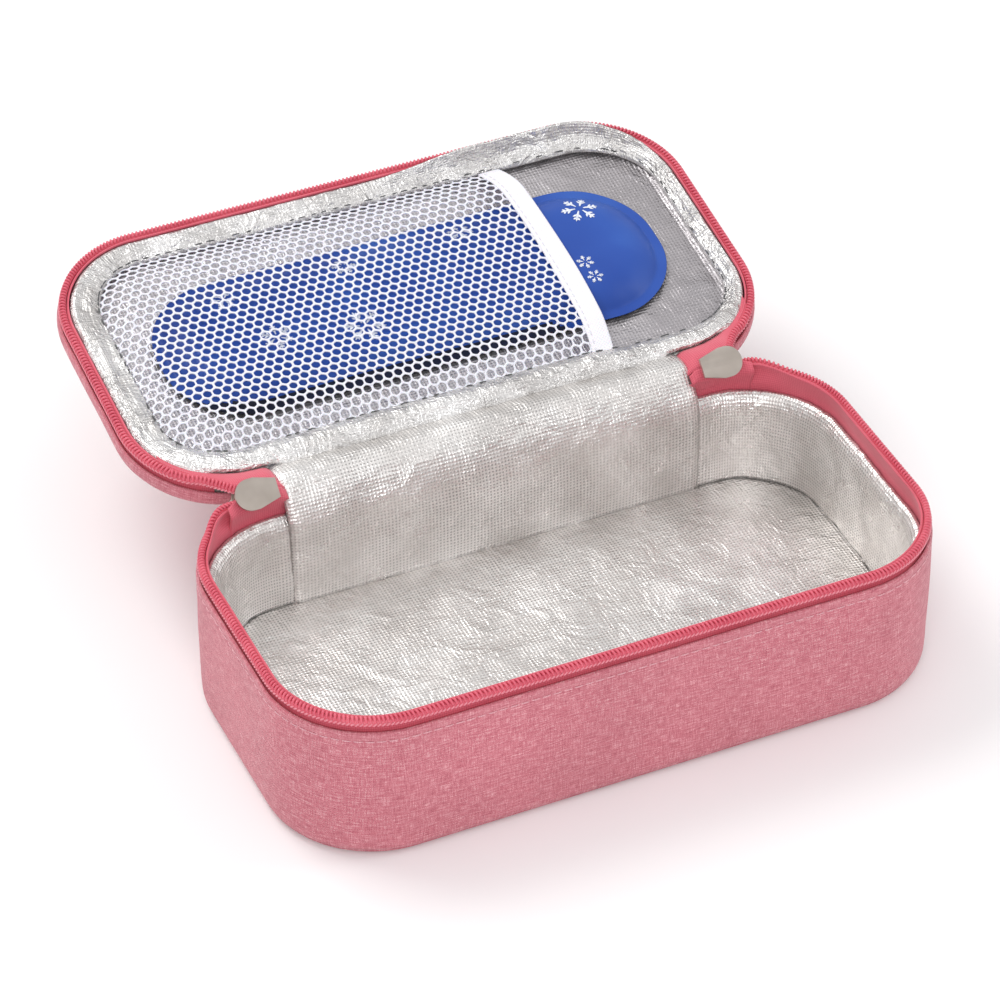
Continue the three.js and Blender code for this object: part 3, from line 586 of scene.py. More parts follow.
def lid_cloth():
    """Narrow side of the lid, folded in at the hem and turned over the rounded edge."""
    line = [(1.35, 8.4), (1.3, 6.6), (1.15, 5.6), (0.7, 5.25), (0.2, 5.5), (0.0, 6.4), (-0.05, 8.0)]
    line += [(0.35, 9.8), (1.0, 10.75), (1.6, 10.6)]
    profile = smooth_line(line, 0.5)
    p = CASE_PLAN.loft(profile)
    p = p + outward(p, True) * (0.18 * noise(p, 13, 20.0))[..., None]
    p[..., 2] += 0.22 * noise(p * (1, 1, 0.2), 22, 24.0)
    piece = Shape().grid(p, closed=True, u=CASE_PLAN.along).build("lid_wall_cloth", opened)
    finish(thicken(piece, 0.5, -1.0), CLOTH, "lid", "outer_cloth", "lid_side_panel")
    return (piece, length_of(profile) * 0.001)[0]


def end_cloth(name, edge, sag, body, node, place):
    """The bottom or top panel: flat in the middle, turned up to its seam at the edge."""
    p = CASE_PLAN.loft(smooth_line(edge, 0.6))
    inner = to_middle(p[-1], 58, 16)
    if sag:
        free = step(6, 26, rounded(inner[..., 0], inner[..., 1], CASE))
        inner[..., 2] -= free * (sag + sag * noise(inner, 60, 21.0))
    shape = Shape().grid(p, closed=True, turn=place is None, u=CASE_PLAN.along)
    shape.grid(inner, closed=True, turn=place is None, flat=True)
    piece = thicken(clean(shape.build(name, place)), 0.8, -1.0)
    finish(piece, CLOTH, body, "outer_cloth", node)
    return piece


def hem_stitches():
    """A row of stitches below the hem."""
    pitch, inset, height = 3.5, 0.14, 45.6
    n = round(CASE_PLAN.length / pitch)
    s = (np.arange(n) + 0.5) * CASE_PLAN.length / n
    middle = CASE_PLAN.at(s, inset, height)
    ahead = CASE_PLAN.at(s + 0.5, inset, height) - middle
    out = middle - CASE_PLAN.at(s, 1, height)
    piece = Shape().threads(middle, ahead, out, 2.9, 0.25).build("base_hem_stitches")
    return finish(piece, HEM_THREAD, "base", "outer_cloth")


tray_cloth()
lid_cloth()
FOOT_EDGE = [(1.7, 2.2), (1.1, 1.75), (1.15, 1.1), (2.1, 0.4), (4.4, 0.0)]
end_cloth("base_bottom_cloth", FOOT_EDGE, 0.0, "base", "base_bottom_panel", None)
LID_EDGE = [(1.7, 10.3), (1.15, 10.75), (1.25, 11.3), (2.2, 11.95), (4.4, 12.3)]
end_cloth("lid_top_cloth", LID_EDGE, 0.4, "lid", "lid_top_panel", opened)
hem_stitches()


# Coil zip
ZIP_PLAN = Plan(CASE, 1.5, 84.0)
ZIP_X = ZIP_PLAN.point[:, 0]
COIL_PITCH, COIL_INSET, COIL_DEPTH = 1.35, 1.73, 1.45
STITCH_DEPTH = 2.6
TRAY_FOOT, LID_FOOT = 8.3, 8.6
SLIDER_LINE = np.array((54.9, 53.3))  # y and z of the tray's coil at the sliders
LEAD_X, TAPE_X = 101.0, 88.8  # where the lid's coil leaves its edge, and where the tapes end
LEAD = float(ZIP_PLAN.along[np.argmax(np.abs(ZIP_X) > LEAD_X)])
MAIN = (np.abs(ZIP_X) > TAPE_X) | (ZIP_PLAN.point[:, 1] < 0)


def tray_zip_place(p):
    """Draws the last stretch of the tray's zip half in to the slider's line."""
    share = step(LEAD_X, 88.2, np.abs(p[..., 0])) * (p[..., 1] > 20) * step(46.0, 51.5, p[..., 2])
    line = np.stack([back_edge(p[..., 0], 2.2), 53.0 + 0 * p[..., 0]], -1)
    moved = p.copy()
    moved[..., 1:] += (SLIDER_LINE - line) * share[..., None]
    return moved


def coil_face(depth, foot):
    """Inset of the tape's outer face."""
    return 1.5 + 1.7 * (foot - depth) / (foot - 1.1)


def zip_coil(name, length, foot, at):
    """Turns of the coil, the cord inside them and the stitches that hold them.
    at(s, inset, depth) gives the points at distances along the zip."""
    each = 12  # points on a turn
    turns = round(length / COIL_PITCH)
    t = np.arange(turns * each + 1) / each
    s = t * length / turns
    up = np.sin(2 * math.pi * t)
    depth = COIL_DEPTH - 0.72 * np.sign(up) * np.abs(up) ** 0.8
    middle = coil_face(depth, foot) - 1.36
    line = at(s, middle + 0.80 * np.cos(2 * math.pi * t), depth)
    heart = at(s, middle, COIL_DEPTH + 0 * s)
    shape = Shape().tube(line, line - heart, 0.38 + 0.12 * np.clip(up, 0, 1) ** 4)
    cord = np.array([(0.74, 2.95), (2.6, 3.4), (2.9, 1.5), (1.05, 1.35), (0.74, 2.95)])
    k = np.linspace(0, length, max(2, round(length / 1.5)))
    shape.grid(np.stack([at(k, inset + 0 * k, d + 0 * k) for inset, d in cord]), u=k)
    k = (np.arange(turns) + 0.4) * length / turns
    outer = coil_face(STITCH_DEPTH, foot) - 2.12 + 0 * k
    mid = at(k, outer, STITCH_DEPTH + 0 * k)
    ahead = at(k + 0.4, outer, 2.3 + 0 * k) - mid
    rows = Shape().threads(mid, ahead, mid - at(k, outer + 1, STITCH_DEPTH + 0 * k), 1.6, 0.33, 0.9, 5)
    return shape.build(name), rows.build(name.replace("teeth", "stitches"))


def zip_tape(name, foot, bend, base, way, place):
    """Both faces of the woven tape, from its foot to its edge under the coil, at base + way x depth."""
    tape = [(2.3, foot), (2.3, bend), (3.1, 4.6), (3.95, 1.5), (3.6, 1.2), (3.2, 1.5), (2.3, 4.6)]
    profile = np.array([*tape, (1.5, bend), (1.5, foot)])
    profile[:, 1] = base + way * profile[:, 1]
    p = ZIP_PLAN.loft(smooth_line(profile, 0.7))[:, MAIN]
    p = p + outward(p, False) * (0.16 * noise(p * (1, 1, 0.3), 15, 30.0))[..., None]
    return Shape().grid(p, turn=way < 0, u=ZIP_PLAN.along[MAIN]).build(name, place)


def tray_run(s, inset, depth):
    return tray_zip_place(ZIP_PLAN.at(s, inset, MEET_Z - depth))


def lid_run(s, inset, depth):
    return opened(ZIP_PLAN.at(LEAD + s, inset, depth))


tape = zip_tape("base_zip_weave", 12.0, TRAY_FOOT, MEET_Z, -1, tray_zip_place)
finish(tape, TAPE, "base", "zip_tape", "base_zip_tape")
coil, stitches = zip_coil("base_zip_teeth", ZIP_PLAN.length, TRAY_FOOT, tray_run)
finish(coil, COIL, "base", "zip_coil", "base_zip_coil")
finish(stitches, COIL_THREAD, "base", "zip_coil")
tape = zip_tape("lid_zip_weave", 8.5, 7.4, 0, 1, opened)
finish(tape, TAPE, "lid", "zip_tape", "lid_zip_tape")
coil, stitches = zip_coil("lid_zip_teeth", ZIP_PLAN.length - 2 * LEAD, LID_FOOT, lid_run)
finish(coil, COIL, "lid", "zip_coil", "lid_zip_coil")
finish(stitches, COIL_THREAD, "lid", "zip_coil")


def lead_coil(hand, side):
    """Last stretch of the lid's coil, down to the slider."""
    s = ZIP_PLAN.length - LEAD * np.array([1.0, 0.85, 0.7])
    corner = opened(ZIP_PLAN.at(s, COIL_INSET, COIL_DEPTH))
    turn_in = [(92.6, 69.0, 54.8), (89.6, 65.8, 54.9), (87.2, 62.6, 55.2), (85.6, 60.0, 55.6)]
    turn_in += [(84.2, 58.3, 55.8), (82.2, 57.4, 55.8)]
    path = smooth_line(np.vstack([corner, turn_in]), 0.5) * (side, 1, 1)
    far = length_of(path)
    station = np.linspace(0, far, len(path))
    rise = np.array((0.0, -math.sin(OPEN), -math.cos(OPEN)))
    inward = side * unit(np.cross(np.gradient(path, axis=0), rise))

    def lead(s, inset, depth):
        spot, way = (np.stack([np.interp(s, station, k) for k in a.T], -1) for a in (path, inward))
        return spot + way * (inset - COIL_INSET)[..., None] - rise * (depth - COIL_DEPTH)[..., None]

    coil, stitches = zip_coil(f"lid_zip_lead_teeth_{hand}", far, LID_FOOT, lead)
    for piece, material in ((coil, COIL), (stitches, COIL_THREAD)):
        finish(piece, material, None, "zip_coil")
        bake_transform(piece)


def lid_tab(hand, side):
    """The lid's tape beside the slider, ruled from the coil's line to the lid's border."""
    x = np.array([69.6, 72.0, 76.0, 80.0, 83.0, 85.5, 88.0, 90.3, 92.6, 94.8, 97.0, 99.6, 102.0])
    edge = opened(np.stack([x, back_edge(x, 5.4), 1.9 + 0 * x], -1))
    edge[:2, 2] -= (2.4, 0.4)
    near = [(69.6, 56.6, 52.6), (72.0, 56.2, 54.4), (76.0, 56.1, 54.6), (80.0, 56.3, 54.8)]
    near += [(82.6, 57.0, 55.2), (84.4, 58.0, 55.4), (86.0, 60.1, 55.2), (87.7, 62.7, 54.8)]
    near += [(90.2, 66.0, 54.5), (93.2, 69.2, 54.4), (96.0, 71.2, 54.4), (99.0, 74.2, 54.9)]
    near += [(101.5, 77.0, 55.4)]
    both = smooth_line(np.column_stack([near, edge]), 1.2)
    q = np.linspace(0, 1, 9)[:, None, None]
    p = both[:, :3] * (1 - q) + both[:, 3:] * q
    puff = 0.3 + 1.1 * step(90, 82, p[..., 0]) * step(70, 74, p[..., 0])
    p[..., 2] += np.sin(math.pi * q[..., 0]) * puff + 0.15 * noise(p, 9, 33.0)
    piece = Shape().grid(p * (side, 1, 1), turn=side < 0).build(f"lid_zip_tab_{hand}")
    finish(thicken(piece, 0.6, 0.0), TAPE, None, "zip_tape", f"lid_zip_end_{hand}")
    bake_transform(piece)


def tray_tab(hand, side):
    """The tray's tape beside the slider, climbing from the wall into the slider's mouth."""
    x = np.linspace(69.6, 90.0, 25)
    climb = [(55.7, 42.0), (55.6, 46.0), (54.6, 49.6), (53.7, 52.0), (54.6, 53.2), (56.1, 54.5)]
    y, z = smooth_line(climb, 0.9).T[..., None]
    high = step(50.0, 53.5, z)
    shift = (back_edge(x, 0.0) - WIDTH / 2) * (1 - high * step(90, 84, x))
    sink = 2.0 * step(72.0, 69.6, x) * high
    p = np.stack([x + 0 * shift, y + shift, z - sink], -1)
    p[..., 1] += 0.15 * noise(p, 11, 36.0)
    piece = Shape().grid(p * (side, 1, 1), turn=side > 0).build(f"base_zip_tab_{hand}")
    finish(thicken(piece, 0.6, 0.0), TAPE, None, "zip_tape", f"base_zip_end_{hand}")
    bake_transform(piece)


for hand, side in (("left", -1), ("right", 1)):
    lead_coil(hand, side)
    lid_tab(hand, side)
    tray_tab(hand, side)


# Foil lining of the tray
def wall_foil():
    plan = Plan(CASE, 1.25)
    plan.keep(~((plan.point[:, 1] > WIDTH / 2 - 0.1) & (np.abs(plan.point[:, 0]) < HINGE_HALF - 2.0)))
    line = [(2.7, 44.8), (3.4, 45.1), (4.8, 44.6), (6.4, 43.0), (7.6, 40.2), (8.2, 36.0)]
    profile = smooth_line([*line, (8.5, 30.0), (8.7, 20.0), (8.9, 12.0)], 1.1)
    p = plan.loft(profile)
    inward = -outward(p, False)
    size = 0.15 + 0.85 * step(0.0, 5.0, np.arange(len(profile)) * 1.1)[:, None]
    p = p + inward * ((0.5 * crumple(p, 21, 40.0) + 0.4 * noise(p, 30, 41.0)) * size + 0.6)[..., None]
    p[0, :, 2] += 0.7 * noise(p[0], 7, 44.0) + 0.5 * noise(p[0], 2.6, 45.0)
    piece = thicken(Shape().grid(p, turn=True, u=plan.along).build("base_wall_foil"), 0.3, 1.0)
    finish(piece, FOIL, "base", "foil_lining", "base_side_lining")
    return piece


def floor_foil():
    p = to_middle(CASE_PLAN.loft([(8.0, 11.5)])[0], 62, 34)
    edge = step(8.0, 17.0, rounded(p[..., 0], p[..., 1], CASE))
    p[..., 2] += 0.15 + edge * (0.6 + 0.5 * crumple(p, 30, 50.0) + 0.35 * noise(p, 55, 51.0))
    piece = clean(Shape().grid(p, closed=True, flat=True).build("base_floor_foil"))
    finish(piece, FOIL, "base", "foil_lining", "base_bottom_lining")
    return piece


def across_hinge(line, columns):
    """Grid of points: a line of (y, z) repeated along the hinge."""
    x = np.linspace(-HINGE_HALF, HINGE_HALF, columns)
    y, z = line.T[..., None] + 0 * x
    return np.stack([x + 0 * y, y, z], -1)


def back_foil():
    """One panel from the tray's back wall over the hinge to the lid's border."""
    path = [(49.2, 11.6), (49.3, 22.0), (49.5, 33.0), (50.3, 41.5), (52.2, 46.8), (55.2, 51.2), (58.2, 54.0)]
    path += [(60.6, 54.8), (63.2, 54.5), (65.4, 53.9), (67.4, 53.3), (69.4, 52.8)]
    line = smooth_line(path, 1.2)
    p = across_hinge(line, 116)
    t = np.linspace(0, 1, len(line))[:, None]
    lively = step(0, 0.12, t) * (1 - 0.75 * step(0.86, 1.0, t))
    pleat = 0.5 * noise(p * (1, 0.25, 0.25), 16, 61.0)
    height = (0.5 * crumple(p, 20, 60.0) + pleat + 0.25 * noise(p, 9, 62.0)) * lively
    curl = -1.1 * step(HINGE_HALF - 2.2, HINGE_HALF, np.abs(p[..., 0]))
    p = p + outward(p, False) * (height + curl + 0.25)[..., None]
    piece = thicken(Shape().grid(p).build("back_foil_panel"), 0.3, -1.0)
    finish(piece, FOIL, None, "foil_lining", "base_back_lining", "hinge_lining_strip")
    length_of(line) * 0.001
    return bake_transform(piece)


def hinge_cloth():
    """Outer cloth of the hinge, arched from hem to hem."""
    path = [(57.4, 47.5), (57.45, 49.6), (58.3, 51.6), (60.4, 52.6), (62.5, 51.7), (63.4, 49.8)]
    line = smooth_line([*path, (63.6, 47.8)], 0.6)
    p = across_hinge(line, 96)
    p[..., 1:] += 0.16 * noise(p, 14, 70.0)[..., None]
    piece = thicken(Shape().grid(p).build("hinge_cloth"), 0.8, 0.0)
    finish(piece, CLOTH, None, "outer_cloth", "hinge_outer_strip")
    length_of(line) * 0.001
    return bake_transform(piece)


wall_foil()
floor_foil()
back_foil()
hinge_cloth()


# Foil lining of the lid
def net_depth(inset):
    """Depth of the net's arch at an inset."""
    return NET_FOOT - NET_RISE * np.sin(0.5 * math.pi * np.clip((inset - NET_INSET) / NET_SLOPE, 0, 1))


def lid_border():
    """Gathered foil border between the zip and the stitched edge of the lining, puffed along the hinge
    and at the far right."""
    plan = Plan(CASE, 1.0)
    nx, ny = plan.normal[:, 0], plan.normal[:, 1]
    left, right, front, back = (np.maximum(a, 0) ** 2 for a in (nx, -nx, ny, -ny))
    width = 9.0 * right + 14.0 * left + 11.0 * front + 15.5 * back
    netted = step(62, 40, plan.point[:, 0])
    inner = np.where(width > NET_INSET, net_depth(width), 4.6) - 0.45
    inner = inner * netted + np.minimum(4.4, inner + 2.0) * (1 - netted)
    t = np.linspace(0, 1, 22)[:, None]
    inset = 4.3 + (width + 0.6 - 4.3) * t
    depth = 1.9 - 0.75 * step(0, 0.12, t) + (inner - 1.15) * np.clip((t - 0.1) / 0.9, 0, 1) ** 1.4
    far = front * step(8, 45, plan.point[:, 0])
    depth = depth - 4.4 * far * np.exp(-(((inset - 5.0) / 1.7) ** 2)) * step(0, 0.08, t)
    depth = depth - 2.2 * back * np.sin(math.pi * t) ** 1.5
    depth = depth + 0.7 * step(0.93, 1.0, t)
    p = np.concatenate([plan.point + plan.normal * inset[..., None], depth[..., None]], -1)
    along = np.broadcast_to(plan.along, p.shape[:2])
    gather = noise(np.stack([along, 7 * t + 0 * along, 0 * along], -1), 4.6, 80.0)
    fold = noise(np.stack([0.14 * along, 9 * t + 0 * along, 0 * along], -1), 2.4, 84.0)
    soft = np.sin(math.pi * np.clip(t * 1.02, 0, 1)) ** 0.6
    ends = step(70, 96, np.abs(p[..., 0]))
    rough = 0.65 * gather + 0.4 * crumple(p, 7, 81.0) + 0.4 * noise(p, 26, 82.0)
    p[..., 2] -= soft * (rough + fold * ends)
    p[..., :2] += plan.normal * (0.35 * noise(p, 12, 83.0) * soft)[..., None]
    beside = step(64, 69, np.abs(p[..., 0])) * step(92, 87, np.abs(p[..., 0])) * (p[..., 1] > 20)
    lack = np.maximum(0, 5.9 - rounded(p[..., 0], p[..., 1], CASE)) * beside
    p[..., :2] += plan.normal * lack[..., None]
    piece = Shape().grid(p, closed=True, turn=True, u=plan.along).build("lid_border_foil", opened)
    finish(thicken(piece, 0.25, -1.0), BORDER_FOIL, "lid", "foil_lining", "lid_foil_border")
    border_stitches(plan, p[-3])


def border_stitches(plan, edge):
    """Uneven stitches, some of them missing, along the border's inner edge. Their near-black thread stands
    for the seam's shadow: painted shade.
    """
    shape = Shape()
    s = 2.0
    while s < plan.length - 4:
        reach = RANDOM.uniform(1.6, 3.2)
        if RANDOM.random() < 0.62:
            row = np.stack([np.interp((s, s + 0.5), plan.along, k) for k in edge.T], -1)
            row[:, 2] -= 0.18
            shape.threads(row[:1], row[1:] - row[:1], (0, 0, -1.0), reach, 0.26)
        s += reach + RANDOM.uniform(1.2, 2.4)
    finish(shape.build("lid_border_stitches", opened), SEAM_SHADOW_THREAD, "lid", "foil_lining")


def lid_panel():
    """Flat lining of the lid with one soft crease beside the gel pack."""
    p = to_middle(Plan(CASE, 1.3).loft([(8.6, 0.0)])[0], 60, 46)
    inset = rounded(p[..., 0], p[..., 1], CASE)
    crease = np.exp(-(((p[..., 1] - 24.0) / 2.6) ** 2)) * step(82, 92, p[..., 0])
    free = step(9.5, 15.0, inset)
    p[..., 2] = 5.6 + 1.0 * step(8.6, 10.6, inset) - crease * free
    p[..., 2] -= free * (0.22 * crumple(p * (1, 1, 0), 24, 91.0) + 0.2 * noise(p * (1, 1, 0), 50, 92.0))
    piece = clean(Shape().grid(p, closed=True, turn=True, flat=True).build("lid_panel_foil", opened))
    finish(piece, PANEL_FOIL, "lid", "foil_lining", "lid_lining_panel")
    return piece


lid_border()
lid_panel()


# Net pocket with its elastic
def pocket_depth(x, y):
    """Depth of the net, arched over the gel pack from the border."""
    inset = rounded(np.minimum(x, 0), y, CASE)
    flat = np.stack([x, y, 0 * x], -1)
    return net_depth(inset) - 0.12 * step(0, 10, inset - NET_INSET) * noise(flat, 30, 100.0)


def mouth_bow(y):
    """How far the elastic bows out of the straight line across the lid."""
    return MOUTH_BOW * (1 - (y / MOUTH_HALF) ** 2)


def net_pocket():
    """Net of six-sided meshes with rounded holes, joined to one sheet."""
    pitch, hole = 3.35, 0.80
    rise, radius = pitch * math.sqrt(3) / 2, pitch / math.sqrt(3)
    turn = np.radians(30 * np.arange(12) + 30)
    spoke = np.column_stack([np.cos(turn), np.sin(turn)])
    at_corner = (np.arange(12) % 2 == 0)[:, None]
    ring = spoke * np.where(at_corner, 1.0, math.cos(math.radians(30)))
    soft = spoke * np.where(at_corner, 0.955, 0.89)
    found, points, faces = {}, [], []

    def index(x, y):
        key = (round(x * 20), round(y * 20))
        if key not in found:
            found[key] = len(points)
            points.append((x, y))
        return found[key]

    rows = int(50 / rise)
    for row in range(-rows, rows + 1):
        for column in range(int(160 / pitch)):
            x = -100.0 + pitch * (column + (0.5 if row % 2 else 0.0))
            y = row * rise
            if rounded(x, y, CASE) < NET_INSET - 0.6 or x > MOUTH_X + 2.6 + mouth_bow(y):
                continue
            outer = [index(x + radius * a, y + radius * b) for a, b in ring]
            wide = hole * (1 + 0.04 * math.sin(x * 1.7 + y * 2.3))
            inner = [index(x + radius * wide * a + 1e-3, y + radius * wide * b) for a, b in soft]
            for k in range(12):
                j = (k + 1) % 12
                faces.append((outer[k], outer[j], inner[j], inner[k]))
    flat = np.array(points)
    level = np.column_stack([flat, 0 * flat[:, 0]])
    flat = flat + 0.14 * np.column_stack([noise(level, 7, s) for s in (101.0, 102.0)])
    p = np.column_stack([flat, pocket_depth(flat[:, 0], flat[:, 1])])
    maps = [tuple(p[i][:2] / MAP_UNIT) for f in faces for i in f]
    piece = thicken(Shape().add(p, [f[::-1] for f in faces], maps).build("net_pocket", opened), 0.36, 0.0)
    finish(piece, NET, "lid", "white_net", "mesh_pocket")
    corner = p[np.array(faces)]
    cross = np.cross(corner[:, 2] - corner[:, 0], corner[:, 3] - corner[:, 1])
    area = 0.5e-6 * np.linalg.norm(cross, axis=1).sum()
    return piece


def pocket_elastic():
    """Folded elastic band over the edge of the net, bowed a little."""
    section = [(-3.7, 0.1), (-3.5, -0.3), (-2.4, -0.5), (0.0, -0.58), (2.4, -0.5), (3.6, -0.35), (3.95, 0.0)]
    section += [(3.6, 0.3), (0.0, 0.4), (-3.5, 0.3), (-3.7, 0.1)]
    line = smooth_line(section, 0.5)[:-1]
    y = np.linspace(-46.4, 46.4, 90)
    middle = pocket_depth(48.0 + 0 * y, y) - 0.25 + 0.12 * np.sin(y / 13)
    across, lift = line.T[..., None]
    x = MOUTH_X + 4.6 + mouth_bow(y) + across * (1 + 0.03 * np.sin(y / 9))
    p = np.stack([x, y + 0 * x, middle + lift], -1)
    piece = Shape().grid(p, ring=True, turn=True).build("pocket_elastic_band", opened)
    finish(piece, ELASTIC, "lid", "white_elastic", "pocket_elastic")
    s = np.arange(-44.0, 44.1, 2.7)
    at = np.stack([MOUTH_X + 2.3 + mouth_bow(s), s, np.interp(s, y, middle) - 0.56], -1)
    seam = Shape().threads(at, np.gradient(at, axis=0), (0, 0, -1.0), 2.0, 0.2)
    finish(seam.build("elastic_stitches", opened), WHITE_THREAD, "lid", "white_elastic")
    return piece


net_pocket()
pocket_elastic()


# Gel pack
def gel_front(x, y):
    """Depth of the front film: a flat welded rim and a crown that rises steeply from it."""
    inset = rounded(x - GEL_MIDDLE[0], y - GEL_MIDDLE[1], GEL)
    flat = np.stack([x, y, 0 * x], -1)
    crown = 5.0 * np.sin(0.5 * math.pi * np.clip((inset - 3.4) / 12.0, 0, 1)) ** 0.75
    near = np.exp(-np.clip(inset - 3.4, 0, None) / 7.0) * step(1.5, 5.0, inset)
    rim = 0.5 * noise(flat, 17, 121.0) * np.exp(-inset / 6.0)
    swell = 0.22 * noise(flat, 42, 122.0) * step(8, 20, inset)
    return 4.75 - crown - 0.5 * near * noise(flat, 6.5, 120.0) - rim - swell


def gel_pack():
    """Front and back film, welded at the rim. The back film and the rim that turns under by the hinge are
    painted near-black: painted shade under the pack.
    """
    plan = Plan(GEL, 2.0)
    inset = np.concatenate([[0.0, 0.3, 1.2, 2.2, 3.0, 3.6], np.linspace(4.3, 26.5, 22)])
    p = plan.loft(np.column_stack([inset, 0 * inset]))
    p = np.concatenate([p, to_middle(p[-1], 60, 3)[1:]]) + (*GEL_MIDDLE, 0)
    front, back = p.copy(), p.copy()
    front[..., 2] = gel_front(p[..., 0], p[..., 1])
    back[..., 2] = np.minimum(front[..., 2] + 0.6, 6.1)
    back[3:, :, 2] = np.maximum(back[3:, :, 2], 5.7)
    back[0] = front[0]
    shape = Shape().grid(front, closed=True, turn=True, flat=True)
    split = len(shape.faces)
    shape.grid(back, closed=True, flat=True)
    piece = clean(shape.build("gel_pack_film", opened), 0.12)
    finish(piece, FILM, "gel_pack", "gel_film", "gel_front_film", "gel_back_film", "gel_fill")
    piece.data.materials.append(PAINTED_SHADE_FILM)
    # The hinge-side rows of the front rim, under the net, take the near-black film: painted shade.
    shown = step(0.5, 0.98, -plan.normal[:, 1]) * step(46, 38, plan.point[:, 0])
    low = np.round(6.0 * shown).astype(int)
    dark = [r < low[c] for r in range(len(front) - 1) for c in range(len(plan.along))]
    dark += [True] * (len(shape.faces) - split)
    piece.data.polygons.foreach_set("material_index", np.array(dark, np.int32))
    return piece


def snow_prints():
    """Plain six-armed flakes printed on the film."""
    shape = Shape()
    flakes = [(67.9, -16.5, 6.4, 0.05), (59.2, 7.0, 3.0, 0.5), (59.6, 14.0, 2.8, 0.1)]
    flakes += [(-19.7, 9.0, 7.0, 0.3), (-47.8, 3.8, 5.4, 0.55), (-57.6, -17.5, 4.6, 0.1)]
    flakes += [(26.7, -20.5, 4.4, 0.4), (-15.5, -18.5, 4.2, 0.2)]
    along = np.linspace(0, 1, 5)[:, None]
    taper = np.array([0.5, 1.0, 1.25, 1.0, 0.35])[:, None]
    for cx, cy, size, turn in flakes:
        for arm in range(6):
            a = turn + arm * math.pi / 3
            d = np.array([math.cos(a), math.sin(a)])
            bars = [(0.22, 0.78, a, 0.055)]
            for at, reach in ((0.50, 0.30), (0.74, 0.22)):
                bars += [(at, reach, a + side * math.radians(48), 0.05) for side in (-1, 1)]
            for start, reach, heading, wide in bars:
                way = np.array([math.cos(heading), math.sin(heading)])
                across = np.array([-way[1], way[0]]) * size * wide
                middle = (cx, cy) + d * size * start + way * size * reach * along
                strip = np.stack([middle - across * taper, middle, middle + across * taper])
                depth = gel_front(strip[..., 0], strip[..., 1]) - 0.12
                shape.grid(np.concatenate([strip, depth[..., None]], -1), turn=True)
    piece = thicken(shape.build("gel_pack_prints", opened), 0.12, 0.0)
    return finish(piece, INK, "gel_pack", "gel_film")


gel_pack()
snow_prints()


# Foam inside the walls
FOAM_PLAN = Plan(CASE, 4.0)


def foam_ring(name, section, body, node, place):
    p = FOAM_PLAN.loft(section)
    piece = Shape().grid(p, closed=True, ring=True, turn=True, u=FOAM_PLAN.along).build(name, place)
    finish(piece, FOAM, body, "foam", node)
    return piece


def foam_slab(name, inset, low, high, body, node, place):
    rows = [(inset + 0.8, low), (inset + 0.2, low + 0.3), (inset, low + 0.8)]
    rows += [(inset, high - 0.8), (inset + 0.2, high - 0.3), (inset + 0.8, high)]
    p = FOAM_PLAN.loft(rows)
    shape = Shape().grid(p, closed=True, u=FOAM_PLAN.along).cap(p[0], turn=True).cap(p[-1])
    piece = clean(shape.build(name, place))
    finish(piece, FOAM, body, "foam", node)
    return piece


WALL_FOAM = [(1.9, 5.2), (6.5, 5.0), (7.0, 8.0), (6.8, 36.0), (5.9, 40.5), (4.8, 42.6)]
WALL_FOAM += [(3.2, 43.2), (2.7, 38.5), (1.9, 37.0)]
foam_ring("base_wall_padding", WALL_FOAM, "base", "base_side_foam", None)
foam_slab("base_floor_padding", 8.4, 4.9, 10.6, "base", "base_bottom_foam", None)
EDGE_FOAM = [(6.1, 3.2), (8.2, 4.4), (8.2, 6.0), (6.1, 6.0)]
foam_ring("lid_wall_padding", EDGE_FOAM, "lid", "lid_side_foam", opened)
foam_slab("lid_top_padding", 4.2, 7.5, 10.7, "lid", "lid_top_foam", opened)

# Solids that stay: sliders, pulls and the board
for name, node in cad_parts.items():
    if name.startswith("slider_"):
        bevel = node.modifiers.new("soft_edge", "BEVEL")
        bevel.width = 0.00025
        bevel.segments = 2
        bevel.limit_method = "ANGLE"
        material = METAL
    elif name == "base_stiffener_board":
        material = BOARD
    else:
        continue
    node.data.materials.clear()
    node.data.materials.append(material)


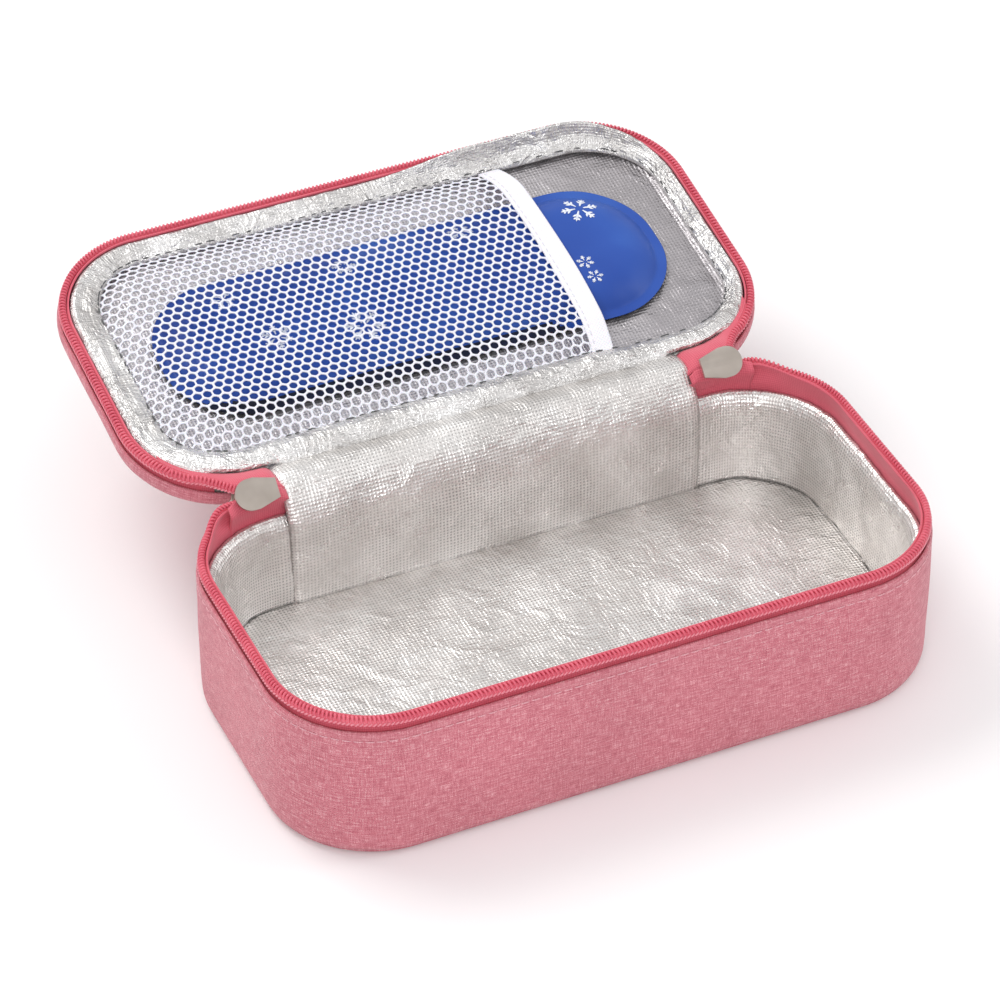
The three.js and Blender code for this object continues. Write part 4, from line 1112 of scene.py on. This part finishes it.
# Floor, light and camera
def floor():
    mesh = bpy.data.meshes.new("floor")
    r = 4.0
    mesh.from_pydata([(-r, -r, 0), (r, -r, 0), (r, r, 0), (-r, r, 0)], [], [(0, 1, 2, 3)])
    made = put("floor", mesh)
    made.location.z = -0.0002
    made.data.materials.append(FLOOR)


def aimed(name, data, place, direction):
    """A light or camera at a place, looking in a direction."""
    made = put(name, data)
    made.location = place
    made.rotation_mode = "QUATERNION"
    made.rotation_quaternion = Vector(direction).to_track_quat("-Z", "Y")
    return made


def area_light(name, place, size, power, colour=(1, 1, 1)):
    lamp = bpy.data.lights.new(name, "AREA")
    lamp.shape = "RECTANGLE"
    lamp.size, lamp.size_y = size
    lamp.energy = power
    lamp.color = colour
    aimed(name, lamp, place, Vector((0.0, 0.05, 0.04)) - Vector(place))


def studio():
    """A bright room, lighter overhead, with a large lamp behind and two softer ones in front."""
    world = bpy.data.worlds.new("studio")
    world.use_nodes = True
    tree = world.node_tree
    ground = tree.nodes["Background"]
    direction = tree.nodes.new("ShaderNodeTexCoord")
    split = tree.nodes.new("ShaderNodeSeparateXYZ")
    band = tree.nodes.new("ShaderNodeValToRGB")
    low, high = band.color_ramp.elements
    low.position, low.color = 0.0, (0.50, 0.50, 0.51, 1)
    high.position, high.color = 0.9, (0.80, 0.80, 0.81, 1)
    tree.links.new(direction.outputs["Generated"], split.inputs[0])
    tree.links.new(split.outputs[2], band.inputs[0])
    tree.links.new(band.outputs[0], ground.inputs["Color"])
    bpy.context.scene.world = world
    area_light("key", (-0.45, 0.75, 1.15), (0.7, 0.7), 8.0, (1.0, 0.99, 0.97))
    area_light("front", (-0.55, -1.1, 0.9), (0.8, 0.6), 6.0)
    area_light("right", (1.2, -0.3, 0.8), (0.5, 0.9), 3.5)
    bpy.context.scene.view_settings.view_transform = "Standard"


def camera():
    lens = bpy.data.cameras.new("camera")
    lens.sensor_width = 36.0
    lens.lens = 163.17
    lens.clip_start, lens.clip_end = 0.05, 20.0
    place, direction = (-0.4619, -0.9664, 0.9301), (0.3223, 0.7085, -0.6278)
    bpy.context.scene.camera = aimed("camera", lens, place, direction)


floor()
studio()
camera()
